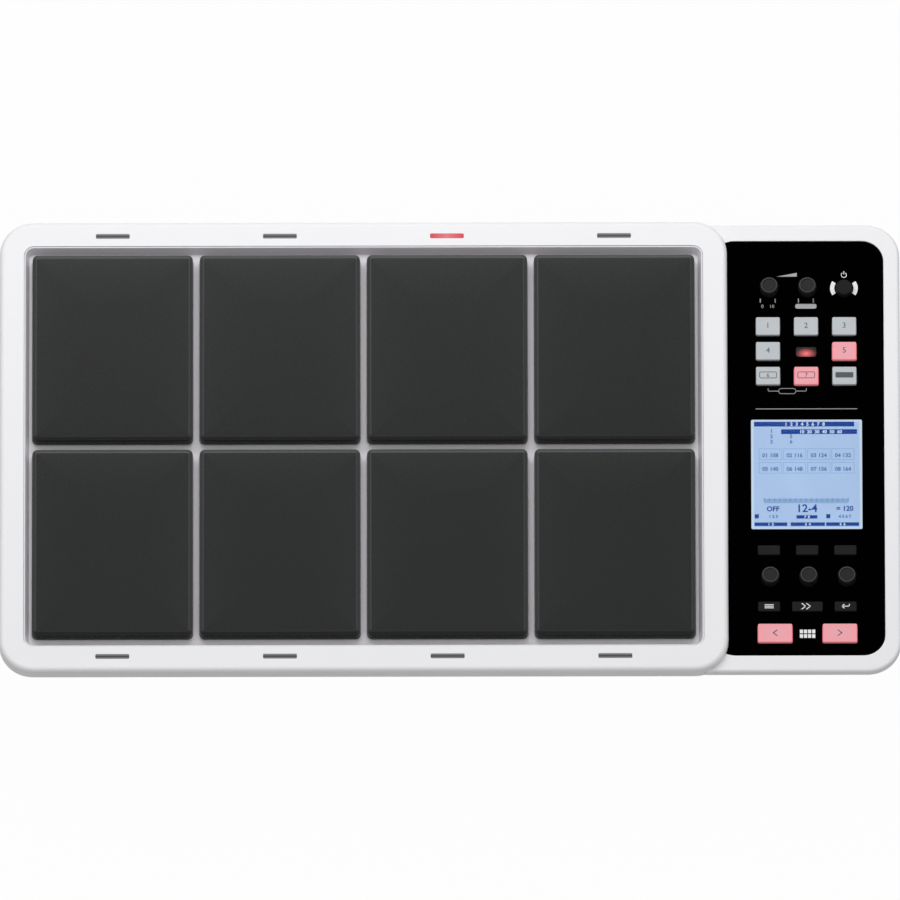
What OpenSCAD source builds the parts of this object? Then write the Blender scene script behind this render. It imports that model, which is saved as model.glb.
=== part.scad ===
// Electronic percussion pad: eight sprung rubber pads in a grey tray, held by a white pad frame that
// overlaps a lower white control case with a black panel of keys, knobs and a display, on a dark
// tapered bottom case with the sockets in its rear wall.
// Origin under the middle of the top case, on the surface that the feet stand on: X right, Y rear, Z up.

/* [Top case] */
// Overall width of the top case
body_w = 532; // [478:1:586]
// Overall depth of the top case
body_d = 284; // [255:1:313]
// Width of the control section right of the pad frame
control_w = 102; // [90:0.5:114]
// Corner radius of the top case in plan
corner_r = 20; // [17:0.5:23]
// Wall of the white mouldings
wall = 3; // [2.6:0.1:3.4]
// Gap left between neighbouring mouldings
seam_gap = 0.2; // [0.1:0.05:0.3]

/* [Pad frame] */
// Height of the pad frame above the joint line
frame_h = 10; // [9.5:0.5:12]
// Rounding of the frame's top edge
frame_edge_r = 3; // [2:0.5:4]
// Rim left and right of the window that shows the pads
frame_rim_x = 14.25; // [13:0.25:17]
// Rim in front of and behind the window
frame_rim_y = 15.5; // [14:0.5:18.5]
// Corner radius of the window
window_r = 6; // [5:0.5:8]
// Width of a lamp slot
lamp_w = 20; // [16:0.5:24]
// Depth of a lamp slot
lamp_d = 3.1; // [2.5:0.1:3.6]
// Width of the foot round a lamp under the frame's skin
lamp_foot_w = 1.2; // [1:0.1:1.4]
// Gap between a lamp's foot and the tray's flange
lamp_clear = 0.4; // [0.3:0.05:0.9]
// Gap between the tray and the seam with the control case
seam_clear = 0.25; // [0.2:0.05:0.5]

/* [Pads] */
// Gap between neighbouring pads from left to right
pad_gap_x = 3.4; // [2.9:0.1:4.5]
// Gap between the two rows of pads
pad_gap_y = 5.1; // [4.1:0.1:6.6]
// Gap between the outer pads and the window, left and right
pad_margin_x = 4.8; // [4.2:0.1:6]
// Gap between the pads and the window, front and rear
pad_margin_y = 6.1; // [5.45:0.05:7.05]
// Corner radius of a pad in plan
pad_r = 3.5; // [3:0.5:6]
// Rounding of a pad's top edge
pad_edge_r = 1.8; // [1:0.1:2.4]
// Height of the pads above the frame
pad_proud = 3; // [2:0.5:4]
// Distance that a struck pad gives
pad_travel = 1; // [0.5:0.1:1.4]
// Thickness of the steel plate under each pad
plate_t = 2; // [1.5:0.1:2.5]
// Distance from a pad's edge to its plate's edge
plate_inset = 3.7; // [3.4:0.1:4.9]
// Thickness of the foam under each plate
foam_t = 5; // [4:0.5:6]
// Distance from a plate's edge to its foam's edge
foam_inset = 2; // [1:0.5:4]
// Diameter of a pad sensor
sensor_dia = 27; // [20:1:35]
// Thickness of a pad sensor
sensor_t = 0.6; // [0.4:0.1:1]
// Diameter of the foam post that presses on a sensor
post_dia = 18; // [12:1:19]

/* [Pad tray] */
// Depth of the tray's floor below the frame's top
tray_depth = 6.5; // [6:0.1:7]
// Drop of the tray's lip below the frame's top
tray_lip_drop = 0.5; // [0.3:0.1:1]
// Width of the tray's lip
tray_lip = 0.6; // [0.4:0.1:1]
// Draft of the tray's side wall, measured along the floor
tray_draft = 2.4; // [1.5:0.1:3]
// Thickness of the tray's floor
tray_t = 2.2; // [1.8:0.1:2.4]
// Wall of the wells that hold the plates and foam
well_wall = 2.5; // [2:0.1:2.8]
// Gap round a plate in its well
well_gap = 1; // [0.6:0.1:1.2]
// Width of the flange under the frame
flange_w = 3; // [2:0.5:3.5]
// Thickness of that flange
flange_t = 1.6; // [1.2:0.1:1.7]

/* [Control case] */
// Height of the control case above the joint line
control_h = 5; // [4.8:0.1:5]
// Set-back of the control case behind the frame's front and rear
control_setback = 0.7; // [0.5:0.1:1]
// Rounding of the control case's top edge
control_edge_r = 2; // [1:0.5:2.5]
// White rim right of the panel
rim_side = 9.6; // [8:0.1:11]
// White rim in front of and behind the panel
rim_end = 10.5; // [9:0.1:12]
// Corner radius of the panel
panel_r = 13; // [8:0.5:15]
// Distance that the panel runs in under the pad frame
panel_under = 8.8; // [8:0.1:9]
// Thickness of the panel
panel_t = 1.2; // [1:0.1:1.4]
// Drop of the panel below the white rim
panel_drop = 0.8; // [0.5:0.1:1]

/* [Keys] */
// Shift of the middle column of keys from the middle of the panel that shows
column_shift = 0.4; // [0:0.1:1]
// Spacing of the columns
column_pitch = 22.55; // [21.5:0.05:23]
// Step from the volume knobs forwards to the first row of grid keys
grid_step = 23.7; // [22:0.1:25]
// Spacing of the rows of grid keys
grid_pitch = 15.7; // [15:0.1:16]
// Width of a grid key
grid_key_w = 14.2; // [12:0.1:16]
// Depth of a grid key
grid_key_d = 11.3; // [9:0.1:11.6]
// Step from the encoder knobs rearwards to the soft keys
soft_step = 17.8; // [17:0.1:20]
// Width of a soft key
soft_key_w = 13.1; // [11:0.1:15]
// Depth of a soft key and of a menu key
small_key_d = 6.1; // [5:0.1:7]
// Step from the kit keys rearwards to the menu keys
menu_step = 16.9; // [16:0.1:18]
// Width of the outer menu keys
menu_key_w = 13; // [11:0.1:14]
// Width of the middle menu key
wide_key_w = 18.1; // [16:0.1:19]
// Distance from the panel's front edge to the kit keys
kit_inset = 13.8; // [12:0.1:16]
// Width of a kit key
kit_key_w = 20.2; // [18:0.1:22]
// Depth of a kit key
kit_key_d = 11.6; // [10:0.1:12]
// Distance of the kit keys from the middle column
kit_offset = 19.1; // [18.5:0.1:20]
// Height of the large keys above the panel
key_proud = 1.8; // [1:0.1:2.5]
// Height of the small keys above the panel
small_key_proud = 1.2; // [0.8:0.1:2]
// Corner radius of a key
key_r = 0.9; // [0.7:0.1:1.5]
// Rounding of a key's top edge
key_edge_r = 0.5; // [0.3:0.1:0.6]
// Gap round a key in its hole
key_gap = 0.3; // [0.2:0.05:0.4]
// Width of the collar that keeps a key in
collar_w = 1.2; // [0.8:0.1:1.4]
// Thickness of that collar
collar_t = 1.2; // [0.8:0.1:1.6]
// Travel of a key
key_travel = 0.6; // [0.3:0.1:0.8]
// Diameter of a key's stem
stem_dia = 4; // [3:0.1:5]
// Diameter of the power button
power_dia = 9.7; // [8:0.1:11]
// Height of the power button above the panel
power_proud = 4.4; // [3:0.1:6]
// Travel of the power button
power_travel = 1.5; // [1:0.1:2]

/* [Knobs] */
// Distance from the panel's rear edge to the volume knobs and the power button
volume_inset = 30.4; // [28:0.1:33]
// Step from the menu keys rearwards to the encoder knobs
encoder_step = 17.7; // [16:0.1:19]
// Offset of the knobs from their columns
knob_offset = 0.8; // [0:0.1:1]
// Diameter of a knob
knob_dia = 10.9; // [9:0.1:12]
// Height of a knob
knob_h = 7.3; // [5:0.1:7.6]
// Gap between a knob and the panel
knob_gap = 0.6; // [0.4:0.1:1]
// Rounding of a knob's top edge
knob_edge_r = 1; // [0.5:0.1:1.5]
// Grip flutes round a knob
knob_flutes = 18; // [12:1:24]
// Radius of a grip flute
flute_r = 0.45; // [0.3:0.05:0.6]
// Diameter of a knob's shaft
shaft_dia = 6; // [5:0.1:6.4]
// Running gap round a shaft in its bush
shaft_gap = 0.05; // [0.02:0.01:0.08]
// Wall of the bush round a shaft
bush_wall = 0.8; // [0.6:0.1:1]

/* [Display] */
// Black panel left and right of the display window
lcd_side = 13.4; // [12:0.1:16]
// Distance from the last row of grid keys to the display window
lcd_rear_gap = 26.8; // [24:0.1:30]
// Distance from the soft keys to the display window
lcd_front_gap = 13.7; // [12.4:0.1:16]
// Corner radius of the display window
lcd_r = 1; // [0.7:0.1:2]
// Step from the display's face to its holder
lcd_step = 1; // [0.7:0.1:1.4]
// Thickness of the display's holder
lcd_holder_t = 5.5; // [4:0.5:7]
// Border of the holder in front of and behind the window
lcd_border = 4; // [3:0.5:5]
// Width of the status lamp
status_w = 12; // [9:0.5:14]
// Depth of the status lamp
status_d = 6; // [4:0.5:8]

/* [Boards] */
// Thickness of the circuit boards
board_t = 1.6; // [1.2:0.1:2]
// Gap between the panel board and the bottom case's right wall, at the joint line
board_gap_side = 4.4; // [4:0.1:6]
// Gap between the panel board and the rear wall
board_gap_rear = 1.8; // [1.2:0.1:3]
// Gap between the panel board and the front wall, at the joint line
board_gap_front = 4.2; // [4:0.1:6]
// Drop of the panel board below the control case
panel_board_drop = 11.6; // [11:0.1:13]
// Diameter of the pillars that carry the panel board
pillar_dia = 5; // [4:0.1:5.4]
// Width of a key switch
switch_w = 6; // [5:0.1:6.5]
// Height of a key switch's body
switch_h = 3.5; // [3:0.1:4]
// Height of a key switch's plunger above its body
plunger_h = 1.5; // [1:0.1:2]
// Diameter of a key switch's plunger
plunger_dia = 3.4; // [3:0.1:4]
// Width of a potentiometer's or encoder's body
rotary_w = 11.6; // [10:0.1:12]
// Height of a potentiometer's or encoder's body
rotary_h = 6.5; // [5:0.1:7]

/* [Bottom case] */
// Height of the bottom case from its underside to the joint line
tub_h = 77; // [72:1:90]
// Height of the rubber feet
foot_h = 6; // [5:0.5:10]
// Wall of the bottom case
tub_wall = 3; // [2.5:0.1:3.5]
// Set-back of the bottom case's rim under the top case
rim_setback = 2.5; // [1.5:0.1:3]
// Thickness of that rim
rim_t = 4; // [3:0.1:5]
// Width of the ledge outside the bottom case's walls
ledge_w = 14; // [13.5:0.1:14.5]
// Lean of the front and side walls, measured along the base
tub_lean = 16; // [14:0.5:18]
// Rounding of the walls into the base
base_chamfer = 6; // [4:0.5:8]
// Corner radius of the bottom case
tub_r = 14; // [12:0.5:16]
// Diameter of the posts under the tray
tub_post_dia = 10; // [7:0.5:11]
// Diameter of a foot
foot_dia = 18; // [14:0.5:22]
// Distance from a foot's middle to the base's sides and rear
foot_inset = 30; // [14:1:60]
// Distance from a front foot's middle to the base's front
foot_inset_front = 24; // [14:1:60]
// Diameter of a case screw's shank
screw_dia = 2.8; // [2.4:0.1:3]
// Diameter of a case screw's head
screw_head_dia = 5.6; // [5:0.1:6]
// Height of a case screw's head
screw_head_h = 2.2; // [1.8:0.1:2.6]
// Diameter of the bosses that take the screws
boss_dia = 7; // [6:0.1:7]
// Gap between a boss and the wall of the top case
boss_clear = 1; // [0.6:0.1:1.2]
// Gap round a screw in its hole
screw_gap = 0.1; // [0.05:0.05:0.2]

/* [Stand plate] */
// Hole spacing from left to right for the stand's clamp plate
stand_x = 100; // [80:1:120]
// Hole spacing from front to rear for the stand's clamp plate
stand_y = 60; // [50:1:80]
// Diameter of the stand holes
stand_hole_dia = 5; // [4:0.1:6]
// Outer diameter of the threaded inserts
insert_dia = 8; // [7.4:0.1:9]
// Length of the threaded inserts
insert_l = 10; // [8:0.5:12]
// Height of the raised seat round the inserts
seat_h = 2; // [1:0.5:3]

/* [Sockets] */
// Place of the left phone jack
jack_x0 = -150; // [-160:1:-145]
// Spacing of the phone jacks
jack_pitch = 24; // [22:0.5:25]
// Diameter of a phone jack's bore
jack_bore_dia = 6.5; // [6.4:0.1:6.6]
// Depth of a phone jack's bore
jack_bore_l = 17; // [15:0.5:18]
// Width of a phone jack's body
jack_w = 15; // [14:0.5:16]
// Height of a phone jack's body
jack_h = 14; // [13:0.5:15]
// Length of a phone jack's body
jack_l = 20; // [19:0.5:22]
// Diameter of a phone jack's nose
jack_nose_dia = 10; // [9.5:0.1:11]
// Length of a phone jack's nose
jack_nose_l = 3; // [2:0.5:4]
// Place of the left round five-pin socket
din_x0 = 8; // [6:1:10]
// Spacing of the five-pin sockets
din_pitch = 26; // [24:0.5:28]
// Diameter of a five-pin socket's face
din_dia = 15.4; // [15:0.1:16]
// Place of the data sockets
usb_x0 = 62; // [60:1:64]
// Spacing of the data sockets
usb_pitch = 22; // [20:0.5:24]
// Place of the power inlet
dc_x = 110; // [108:1:114]
// Diameter of the power inlet's mouth
dc_mouth_dia = 6.4; // [5.5:0.1:6.6]
// Gap round a socket in the rear wall
socket_gap = 0.3; // [0.2:0.05:0.5]
// Width of the main board
main_board_w = 310; // [304:1:320]
// Depth of the main board
main_board_d = 62; // [50:1:70]
// Height of the main board above the bottom case's floor
main_board_lift = 16.4; // [14:0.1:20]

/* [Hidden] */
$fn = 48;

// Colours
white = "#ECECEE";
charcoal = "#3A3B3D";
tray_grey = "#A3A2A6";
pad_black = "#37383A";
panel_black = "#0B0B0C";
key_grey = "#C6CACC";
key_lit = "#E89AA0";
key_dark = "#242426";
board_green = "#2E5B3C";
steel = "#B9BBBE";
brass = "#B8923F";

// Levels, from the floor up
joint_z = foot_h + tub_h;
frame_z = joint_z + frame_h;
skin_z = frame_z - wall;
control_z = joint_z + control_h;
panel_z = control_z - panel_drop;
pocket_z = panel_z - panel_t;
control_lip = 0.6;
control_skin_z = joint_z + control_lip;
pad_z = frame_z + pad_proud;
tray_z = frame_z - tray_depth;
rest_gap = 0.3;
pad_base_z = tray_z + pad_travel + rest_gap;
plate_base_z = pad_base_z - plate_t;
well_z = plate_base_z - foam_t;
panel_board_z = control_skin_z - panel_board_drop;
switch_z = panel_board_z + switch_h + plunger_h;
floor_z = foot_h + tub_wall;
main_board_z = floor_z + main_board_lift + board_t;
ledge_z = joint_z - rim_t;

// Places in plan
left_x = -body_w / 2;
right_x = body_w / 2;
frame_w = body_w - control_w;
frame_x = left_x + frame_w / 2;
frame_right = left_x + frame_w;
window_w = frame_w - 2 * frame_rim_x;
window_d = body_d - 2 * frame_rim_y;
seam_x = frame_right - frame_rim_x + seam_clear;
control_left = seam_x + seam_gap;
control_d = body_d - 2 * control_setback;
panel_right = right_x - rim_side;
panel_left = frame_right - panel_under;
panel_w = panel_right - panel_left;
panel_d = control_d - 2 * rim_end;
panel_x = (panel_left + panel_right) / 2;
panel_shown_w = panel_right - frame_right;
column_x = (frame_right + panel_right) / 2 + column_shift;
lamp_y = window_d / 2 + flange_w + lamp_clear + lamp_foot_w + lamp_d / 2;
screw_y = body_d / 2 - wall - boss_clear - boss_dia / 2;
rear_y = body_d / 2 - ledge_w;
rear_inner_y = rear_y - tub_wall;

// Rows of controls, from the panel's front and rear edges
kit_y = -panel_d / 2 + kit_inset;
menu_y = kit_y + menu_step;
encoder_y = menu_y + encoder_step;
soft_y = encoder_y + soft_step;
volume_y = panel_d / 2 - volume_inset;
grid_y = volume_y - grid_step;
grid_end_y = grid_y - 2 * grid_pitch;

// Display, between the grid keys and the soft keys
lcd_rear = grid_end_y - lcd_rear_gap;
lcd_front = soft_y + lcd_front_gap;
lcd_w = panel_shown_w - 2 * lcd_side;
lcd_d = lcd_rear - lcd_front;

// Pads fill the window
pad_columns = 4;
pad_rows = 2;
pad_w = (window_w - 2 * pad_margin_x - (pad_columns - 1) * pad_gap_x) / pad_columns;
pad_d = (window_d - 2 * pad_margin_y - (pad_rows - 1) * pad_gap_y) / pad_rows;
pad_pitch_x = pad_w + pad_gap_x;
pad_pitch_y = pad_d + pad_gap_y;
plate_w = pad_w - 2 * plate_inset;
plate_d = pad_d - 2 * plate_inset;
well_w = plate_w + 2 * well_gap;
well_d = plate_d + 2 * well_gap;
well_r = 3;
plate_r = 2;
foam_w = plate_w - 2 * foam_inset;
foam_d = plate_d - 2 * foam_inset;
sensor_room = 3;
// Pads are numbered from the rear left, along the rear row and then the front row
function pad_x(i) = frame_x + (i % pad_columns - (pad_columns - 1) / 2) * pad_pitch_x;
function pad_y(i) = ((pad_rows - 1) / 2 - floor(i / pad_columns)) * pad_pitch_y;

// Grid keys fill a three by three grid whose middle place is the status lamp
grid_places = [[-1, 0], [0, 0], [1, 0], [-1, 1], [1, 1], [-1, 2], [0, 2], [1, 2]];
function grid_key_at(i) =
  [column_x + grid_places[i][0] * column_pitch, grid_y - grid_places[i][1] * grid_pitch];
function soft_key_at(i) = [column_x + (i - 1) * column_pitch, soft_y];
function menu_key_at(i) = [column_x + (i - 1) * column_pitch, menu_y];
function kit_key_at(side) = [column_x + side * kit_offset, kit_y];
power_at = [column_x + column_pitch, volume_y];
function volume_at(i) = [column_x + (i - 1) * column_pitch + knob_offset, volume_y];
function encoder_at(i) = [column_x + (i - 1) * column_pitch + knob_offset, encoder_y];
status_at = [column_x, grid_y - grid_pitch];
lcd_at = [column_x, (lcd_rear + lcd_front) / 2];
rotary_places = [volume_at(0), volume_at(1), encoder_at(0), encoder_at(1), encoder_at(2)];
grid_key_places = [for (i = [0 : 7]) grid_key_at(i)];
soft_key_places = [for (i = [0 : 2]) soft_key_at(i)];
menu_key_places = [for (i = [0 : 2]) menu_key_at(i)];
menu_key_widths = [menu_key_w, wide_key_w, menu_key_w];
kit_key_places = [kit_key_at(-1), kit_key_at(1)];
switch_places = concat(grid_key_places, soft_key_places, menu_key_places, kit_key_places, [power_at]);
lcd_face_w = lcd_w + 2 * lcd_step;
lcd_face_d = lcd_d + 2 * lcd_step;
lcd_holder_z = control_skin_z - lcd_step - lcd_holder_t;
bush_dia = shaft_dia + 2 * (shaft_gap + bush_wall);
bush_room = 0.3;
bush_drop = 0.6;
shaft_reach = 3;

// Panel board, inside the bottom case's walls and round corners
board_r = 1;
panel_board_w = 2 * (right_x - ledge_w - tub_wall - board_gap_side - column_x);
panel_board_d = 2 * rear_inner_y - board_gap_rear - board_gap_front;
panel_board_y = (board_gap_front - board_gap_rear) / 2;
panel_board_r = tub_r - tub_wall - board_gap_rear;

// Pillars for the panel board, from the middle column and the middle of the case
pillar_edge = 3;
pillar_step = 11.6;
pillar_x = panel_board_w / 2 - pillar_edge;
pillar_front = kit_y + kit_key_d / 3;
pillar_middle = (grid_end_y + lcd_rear) / 2;
pillar_rear = volume_y + pillar_step;
pillar_places = [
  [0, pillar_front], [-pillar_x, pillar_middle], [pillar_x, pillar_middle],
  [-pillar_x, pillar_rear], [pillar_x, pillar_rear]
];

// Case screws: three pairs into the pad frame, two pairs into the control case
screw_end_inset = 24;
screw_xs = [
  left_x + screw_end_inset, frame_x, seam_x - screw_end_inset,
  control_left + screw_end_inset, right_x - screw_end_inset
];
screw_ends = [skin_z, skin_z, skin_z, pocket_z, pocket_z];
screw_spare = 0.6;

// Sockets in the rear wall
jack_count = 6;
jack_z = main_board_z + jack_h / 2;
jack_face_y = rear_inner_y - seam_gap;
din_h = 20;
din_w = 20;
din_l = 18;
din_z = main_board_z + din_h / 2;
din_pin_dia = 1.6;
din_pin_ring = 7;
din_pin_depth = 9;
usb_w = 12;
usb_h = 11;
usb_l = 16;
usb_z = main_board_z + usb_h / 2;
usb_mouth = [9, 8.2];
usb_depth = 9;
usb_tongue = [5.6, 3];
dc_w = 9.4;
dc_h = 11;
dc_l = 14;
dc_z = main_board_z + dc_h / 2;
dc_depth = 9.5;
dc_pin_dia = 2.1;
function jack_x(i) = jack_x0 + i * jack_pitch;
function din_x(i) = din_x0 + i * din_pitch;
function usb_x(i) = usb_x0 + i * usb_pitch;
main_board_x = (jack_x(0) + dc_x) / 2;
main_board_rear = rear_inner_y - tub_wall;

// Flat shape with four round corners
module rounded_rect(w, d, r) {
  for (sx = [-1, 1])
    for (sy = [-1, 1])
      translate([sx * (w / 2 - r), sy * (d / 2 - r)])
        intersection() {
          circle(r);
          translate([sx < 0 ? -r : 0, sy < 0 ? -r : 0])
            square(r);
        }
  square([w - 2 * r, d], center = true);
  for (sx = [-1, 1])
    translate([sx * (w - r) / 2, 0])
      square([r, d - 2 * r], center = true);
}

// Plate with four round corners, from level z0 to level z1
module plate(w, d, r, z0, z1) {
  translate([0, 0, z0])
    linear_extrude(z1 - z0)
      rounded_rect(w, d, r);
}

// Slab with four round corners whose edge has the section given as a child: x out from the corner's
// centre line, y up
module edged_slab(w, d, r, z0, z1) {
  for (k = [0 : 3]) {
    along_x = k % 2 == 0;
    rotate([0, 0, k * 90])
      translate([(along_x ? w : d) / 2 - r, (along_x ? d : w) / 2 - r, 0])
        rotate_extrude(angle = 90)
          children();
    rotate([0, 0, k * 90])
      translate([(along_x ? w : d) / 2 - r, (along_x ? d : w) / 2 - r, 0])
        rotate([90, 0, 0])
          linear_extrude((along_x ? d : w) - 2 * r)
            children();
  }
  translate([-(w / 2 - r), -(d / 2 - r), z0])
    cube([w - 2 * r, d - 2 * r, z1 - z0]);
}

// Section of a straight wall with a rounded top edge
module round_top_section(r, z0, z1, edge_r) {
  translate([0, z0])
    square([r, z1 - edge_r - z0]);
  translate([0, z1 - edge_r])
    square([r - edge_r, edge_r]);
  translate([r - edge_r, z1 - edge_r])
    intersection() {
      circle(edge_r);
      square(edge_r);
    }
}

module round_top_slab(w, d, r, z0, z1, edge_r) {
  edged_slab(w, d, r, z0, z1)
    round_top_section(r, z0, z1, edge_r);
}

// Slab whose sides lean outwards towards the top, r and the size being those at the top
module drafted_slab(w, d, r, z0, z1, draft) {
  edged_slab(w, d, r, z0, z1)
    polygon([[0, z0], [r - draft, z0], [r, z1], [0, z1]]);
}

module bar(dia, z0, z1) {
  translate([0, 0, z0])
    cylinder(d = dia, h = z1 - z0);
}

// Cylinder that lies along Y, from y0 rearwards to y1
module rear_bar(dia, x, z, y0, y1) {
  translate([x, y1, z])
    rotate([90, 0, 0])
      cylinder(d = dia, h = y1 - y0);
}

module block(w, x, y0, y1, z0, z1) {
  translate([x - w / 2, y0, z0])
    cube([w, y1 - y0, z1 - z0]);
}

cut = 1; // how far a cutting shape runs past the face that it cuts

// White frame round the pads, open below, stepped at its right end to lie over the control case
module pad_frame() {
  color(white) {
    difference() {
      translate([frame_x, 0, 0])
        round_top_slab(frame_w, body_d, corner_r, joint_z, frame_z, frame_edge_r);
      translate([frame_x, 0, 0])
        plate(frame_w - 2 * wall, body_d - 2 * wall, corner_r - wall, joint_z - cut, skin_z);
      translate([frame_x, 0, 0])
        plate(window_w, window_d, window_r, skin_z - cut, frame_z + cut);
      translate([seam_x, -body_d, joint_z - cut])
        cube([body_w, 2 * body_d, control_h + cut]);
      for (i = [0 : pad_columns - 1])
        for (side = [-1, 1])
          translate([pad_x(i), side * lamp_y, 0])
            plate(lamp_w, lamp_d, lamp_d / 4, skin_z - cut, frame_z + cut);
    }
    for (i = [0 : 2])
      screw_bosses(i);
  }
}

// Bosses in the top case that take one pair of case screws
module screw_bosses(i) {
  for (side = [-1, 1])
    translate([screw_xs[i], side * screw_y, 0])
      difference() {
        bar(boss_dia, joint_z, screw_ends[i]);
        bar(screw_dia + 2 * screw_gap, joint_z - cut, screw_ends[i] - screw_spare);
      }
}

// White tray-shaped case of the control section: its right corners show, its left end lies under the frame
module control_case() {
  case_w = right_x - control_left;
  color(white) {
    difference() {
      intersection() {
        translate([right_x - case_w, 0, 0])
          round_top_slab(2 * case_w, control_d, corner_r, joint_z, control_z, control_edge_r);
        translate([control_left, -body_d, 0])
          cube([body_w, 2 * body_d, 2 * control_z]);
      }
      translate([control_left + wall, -control_d / 2 + ledge_w, joint_z - cut])
        cube([case_w - wall - ledge_w, control_d - 2 * ledge_w, control_skin_z - joint_z + cut]);
      translate([panel_x, 0, 0])
        plate(panel_w + 2 * seam_gap, panel_d + 2 * seam_gap, panel_r + seam_gap, pocket_z, control_z + cut);
      panel_holes(control_skin_z - cut, pocket_z + cut, lcd_face_w + 2 * seam_gap, lcd_face_d + 2 * seam_gap);
      for (i = [3, 4])
        for (side = [-1, 1])
          translate([screw_xs[i], side * screw_y, 0])
            bar(screw_dia + 2 * screw_gap, joint_z - cut, pocket_z - screw_spare);
    }
    for (p = pillar_places)
      translate([column_x + p[0], p[1], 0])
        bar(pillar_dia, panel_board_z, control_skin_z);
  }
}

// Holes that the keys, shafts and lenses pass through, in the panel and in the case under it
module panel_holes(z0, z1, window_w, window_d) {
  for (p = grid_key_places)
    key_hole(p, grid_key_w, grid_key_d, z0, z1);
  for (p = soft_key_places)
    key_hole(p, soft_key_w, small_key_d, z0, z1);
  for (i = [0 : 2])
    key_hole(menu_key_places[i], menu_key_widths[i], small_key_d, z0, z1);
  for (p = kit_key_places)
    key_hole(p, kit_key_w, kit_key_d, z0, z1);
  translate([power_at[0], power_at[1], 0])
    bar(power_dia + 2 * key_gap, z0, z1);
  for (p = rotary_places)
    translate([p[0], p[1], 0])
      bar(bush_dia + 2 * bush_room, z0, z1);
  translate([status_at[0], status_at[1], 0])
    plate(status_w + seam_gap, status_d + seam_gap, status_d / 4, z0, z1);
  translate([lcd_at[0], lcd_at[1], 0])
    plate(window_w, window_d, lcd_r, z0, z1);
}

module key_hole(at, w, d, z0, z1) {
  translate([at[0], at[1], 0])
    plate(w + 2 * key_gap, d + 2 * key_gap, key_r + key_gap, z0, z1);
}

// Black panel laid in the control case's pocket
module control_panel() {
  color(panel_black)
    difference() {
      translate([panel_x, 0, 0])
        plate(panel_w, panel_d, panel_r, pocket_z, panel_z);
      panel_holes(pocket_z - cut, panel_z + cut, lcd_w + seam_gap, lcd_d + seam_gap);
    }
}

// Clear display window, flush in the panel
module lcd_window() {
  color("#8FB0D8")
    translate([lcd_at[0], lcd_at[1], 0])
      plate(lcd_w, lcd_d, lcd_r, pocket_z, panel_z);
}

// Display glass in its holder, standing on the panel board
module lcd_module() {
  leg_dia = 4;
  leg_inset = 5;
  holder_w = lcd_face_w + lcd_step;
  holder_d = lcd_face_d + 2 * lcd_border;
  holder_top = lcd_holder_z + lcd_holder_t;
  color("#6F8FB8")
    translate([lcd_at[0], lcd_at[1], 0]) {
      plate(lcd_face_w, lcd_face_d, lcd_r, holder_top, pocket_z);
      plate(holder_w, holder_d, lcd_r, lcd_holder_z, holder_top);
      for (sx = [-1, 1])
        for (sy = [-1, 1])
          translate([sx * (holder_w / 2 - leg_inset), sy * (holder_d / 2 - leg_inset), 0])
            bar(leg_dia, panel_board_z, lcd_holder_z);
    }
}

// Eight light bars in the frame's slots, each with a foot under the frame's skin
module pad_lamps() {
  lamp_foot_t = 1.2;
  lamp_drop = 0.2;
  lamp_gap = 0.1;
  color("#6A6A6E")
    for (i = [0 : pad_columns - 1])
      for (side = [-1, 1])
        translate([pad_x(i), side * lamp_y, 0]) {
          plate(lamp_w - 2 * lamp_gap, lamp_d - 2 * lamp_gap, lamp_d / 4 - lamp_gap,
                skin_z, frame_z - lamp_drop);
          plate(lamp_w + 2 * lamp_foot_w, lamp_d + 2 * lamp_foot_w, lamp_d / 4, skin_z - lamp_foot_t, skin_z);
        }
}

// Lamp lens in the middle of the key grid, with a foot under the control case
module status_lamp() {
  lens_foot = 1;
  color("#B0202C")
    translate([status_at[0], status_at[1], 0]) {
      plate(status_w, status_d, status_d / 4, control_skin_z, panel_z);
      plate(status_w + 2 * lens_foot, status_d + 2 * lens_foot, status_d / 4,
            control_skin_z - lens_foot, control_skin_z);
    }
}

// Grey tray under the frame: a drafted dish with eight wells for the pads' plates and foam
module pad_tray() {
  outer_w = window_w - 2 * seam_gap;
  outer_d = window_d - 2 * seam_gap;
  outer_r = window_r - seam_gap;
  color(tray_grey)
    difference() {
      union() {
        translate([frame_x, 0, 0])
          plate(outer_w, outer_d, outer_r, tray_z - tray_t, frame_z - tray_lip_drop);
        translate([frame_x, 0, 0])
          plate(window_w + 2 * flange_w, window_d + 2 * flange_w, window_r + flange_w,
                skin_z - flange_t, skin_z);
        for (i = [0 : pad_columns * pad_rows - 1])
          translate([pad_x(i), pad_y(i), 0])
            plate(well_w + 2 * well_wall, well_d + 2 * well_wall, well_r + well_wall,
                  well_z - well_wall, tray_z - tray_t);
      }
      translate([frame_x, 0, 0])
        drafted_slab(outer_w - 2 * tray_lip, outer_d - 2 * tray_lip, outer_r - tray_lip,
                     tray_z, frame_z, tray_draft);
      for (i = [0 : pad_columns * pad_rows - 1])
        translate([pad_x(i), pad_y(i), 0])
          plate(well_w, well_d, well_r, well_z, tray_z + cut);
    }
}

// Rubber pad i
module pad(i) {
  color(pad_black)
    translate([pad_x(i), pad_y(i), 0])
      round_top_slab(pad_w, pad_d, pad_r, pad_base_z, pad_z, pad_edge_r);
}

// Steel plate under pad i
module pad_plate(i) {
  color(steel)
    translate([pad_x(i), pad_y(i), 0])
      plate(plate_w, plate_d, plate_r, plate_base_z, pad_base_z);
}

// Foam under each plate, with a separate post over the sensor in its middle
module pad_foams() {
  color("#4B4C50")
    for (i = [0 : pad_columns * pad_rows - 1])
      translate([pad_x(i), pad_y(i), 0]) {
        difference() {
          plate(foam_w, foam_d, plate_r, well_z, plate_base_z);
          bar(sensor_dia + 2 * sensor_room, well_z - cut, plate_base_z + cut);
        }
        bar(post_dia, well_z + sensor_t, plate_base_z);
      }
}

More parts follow.
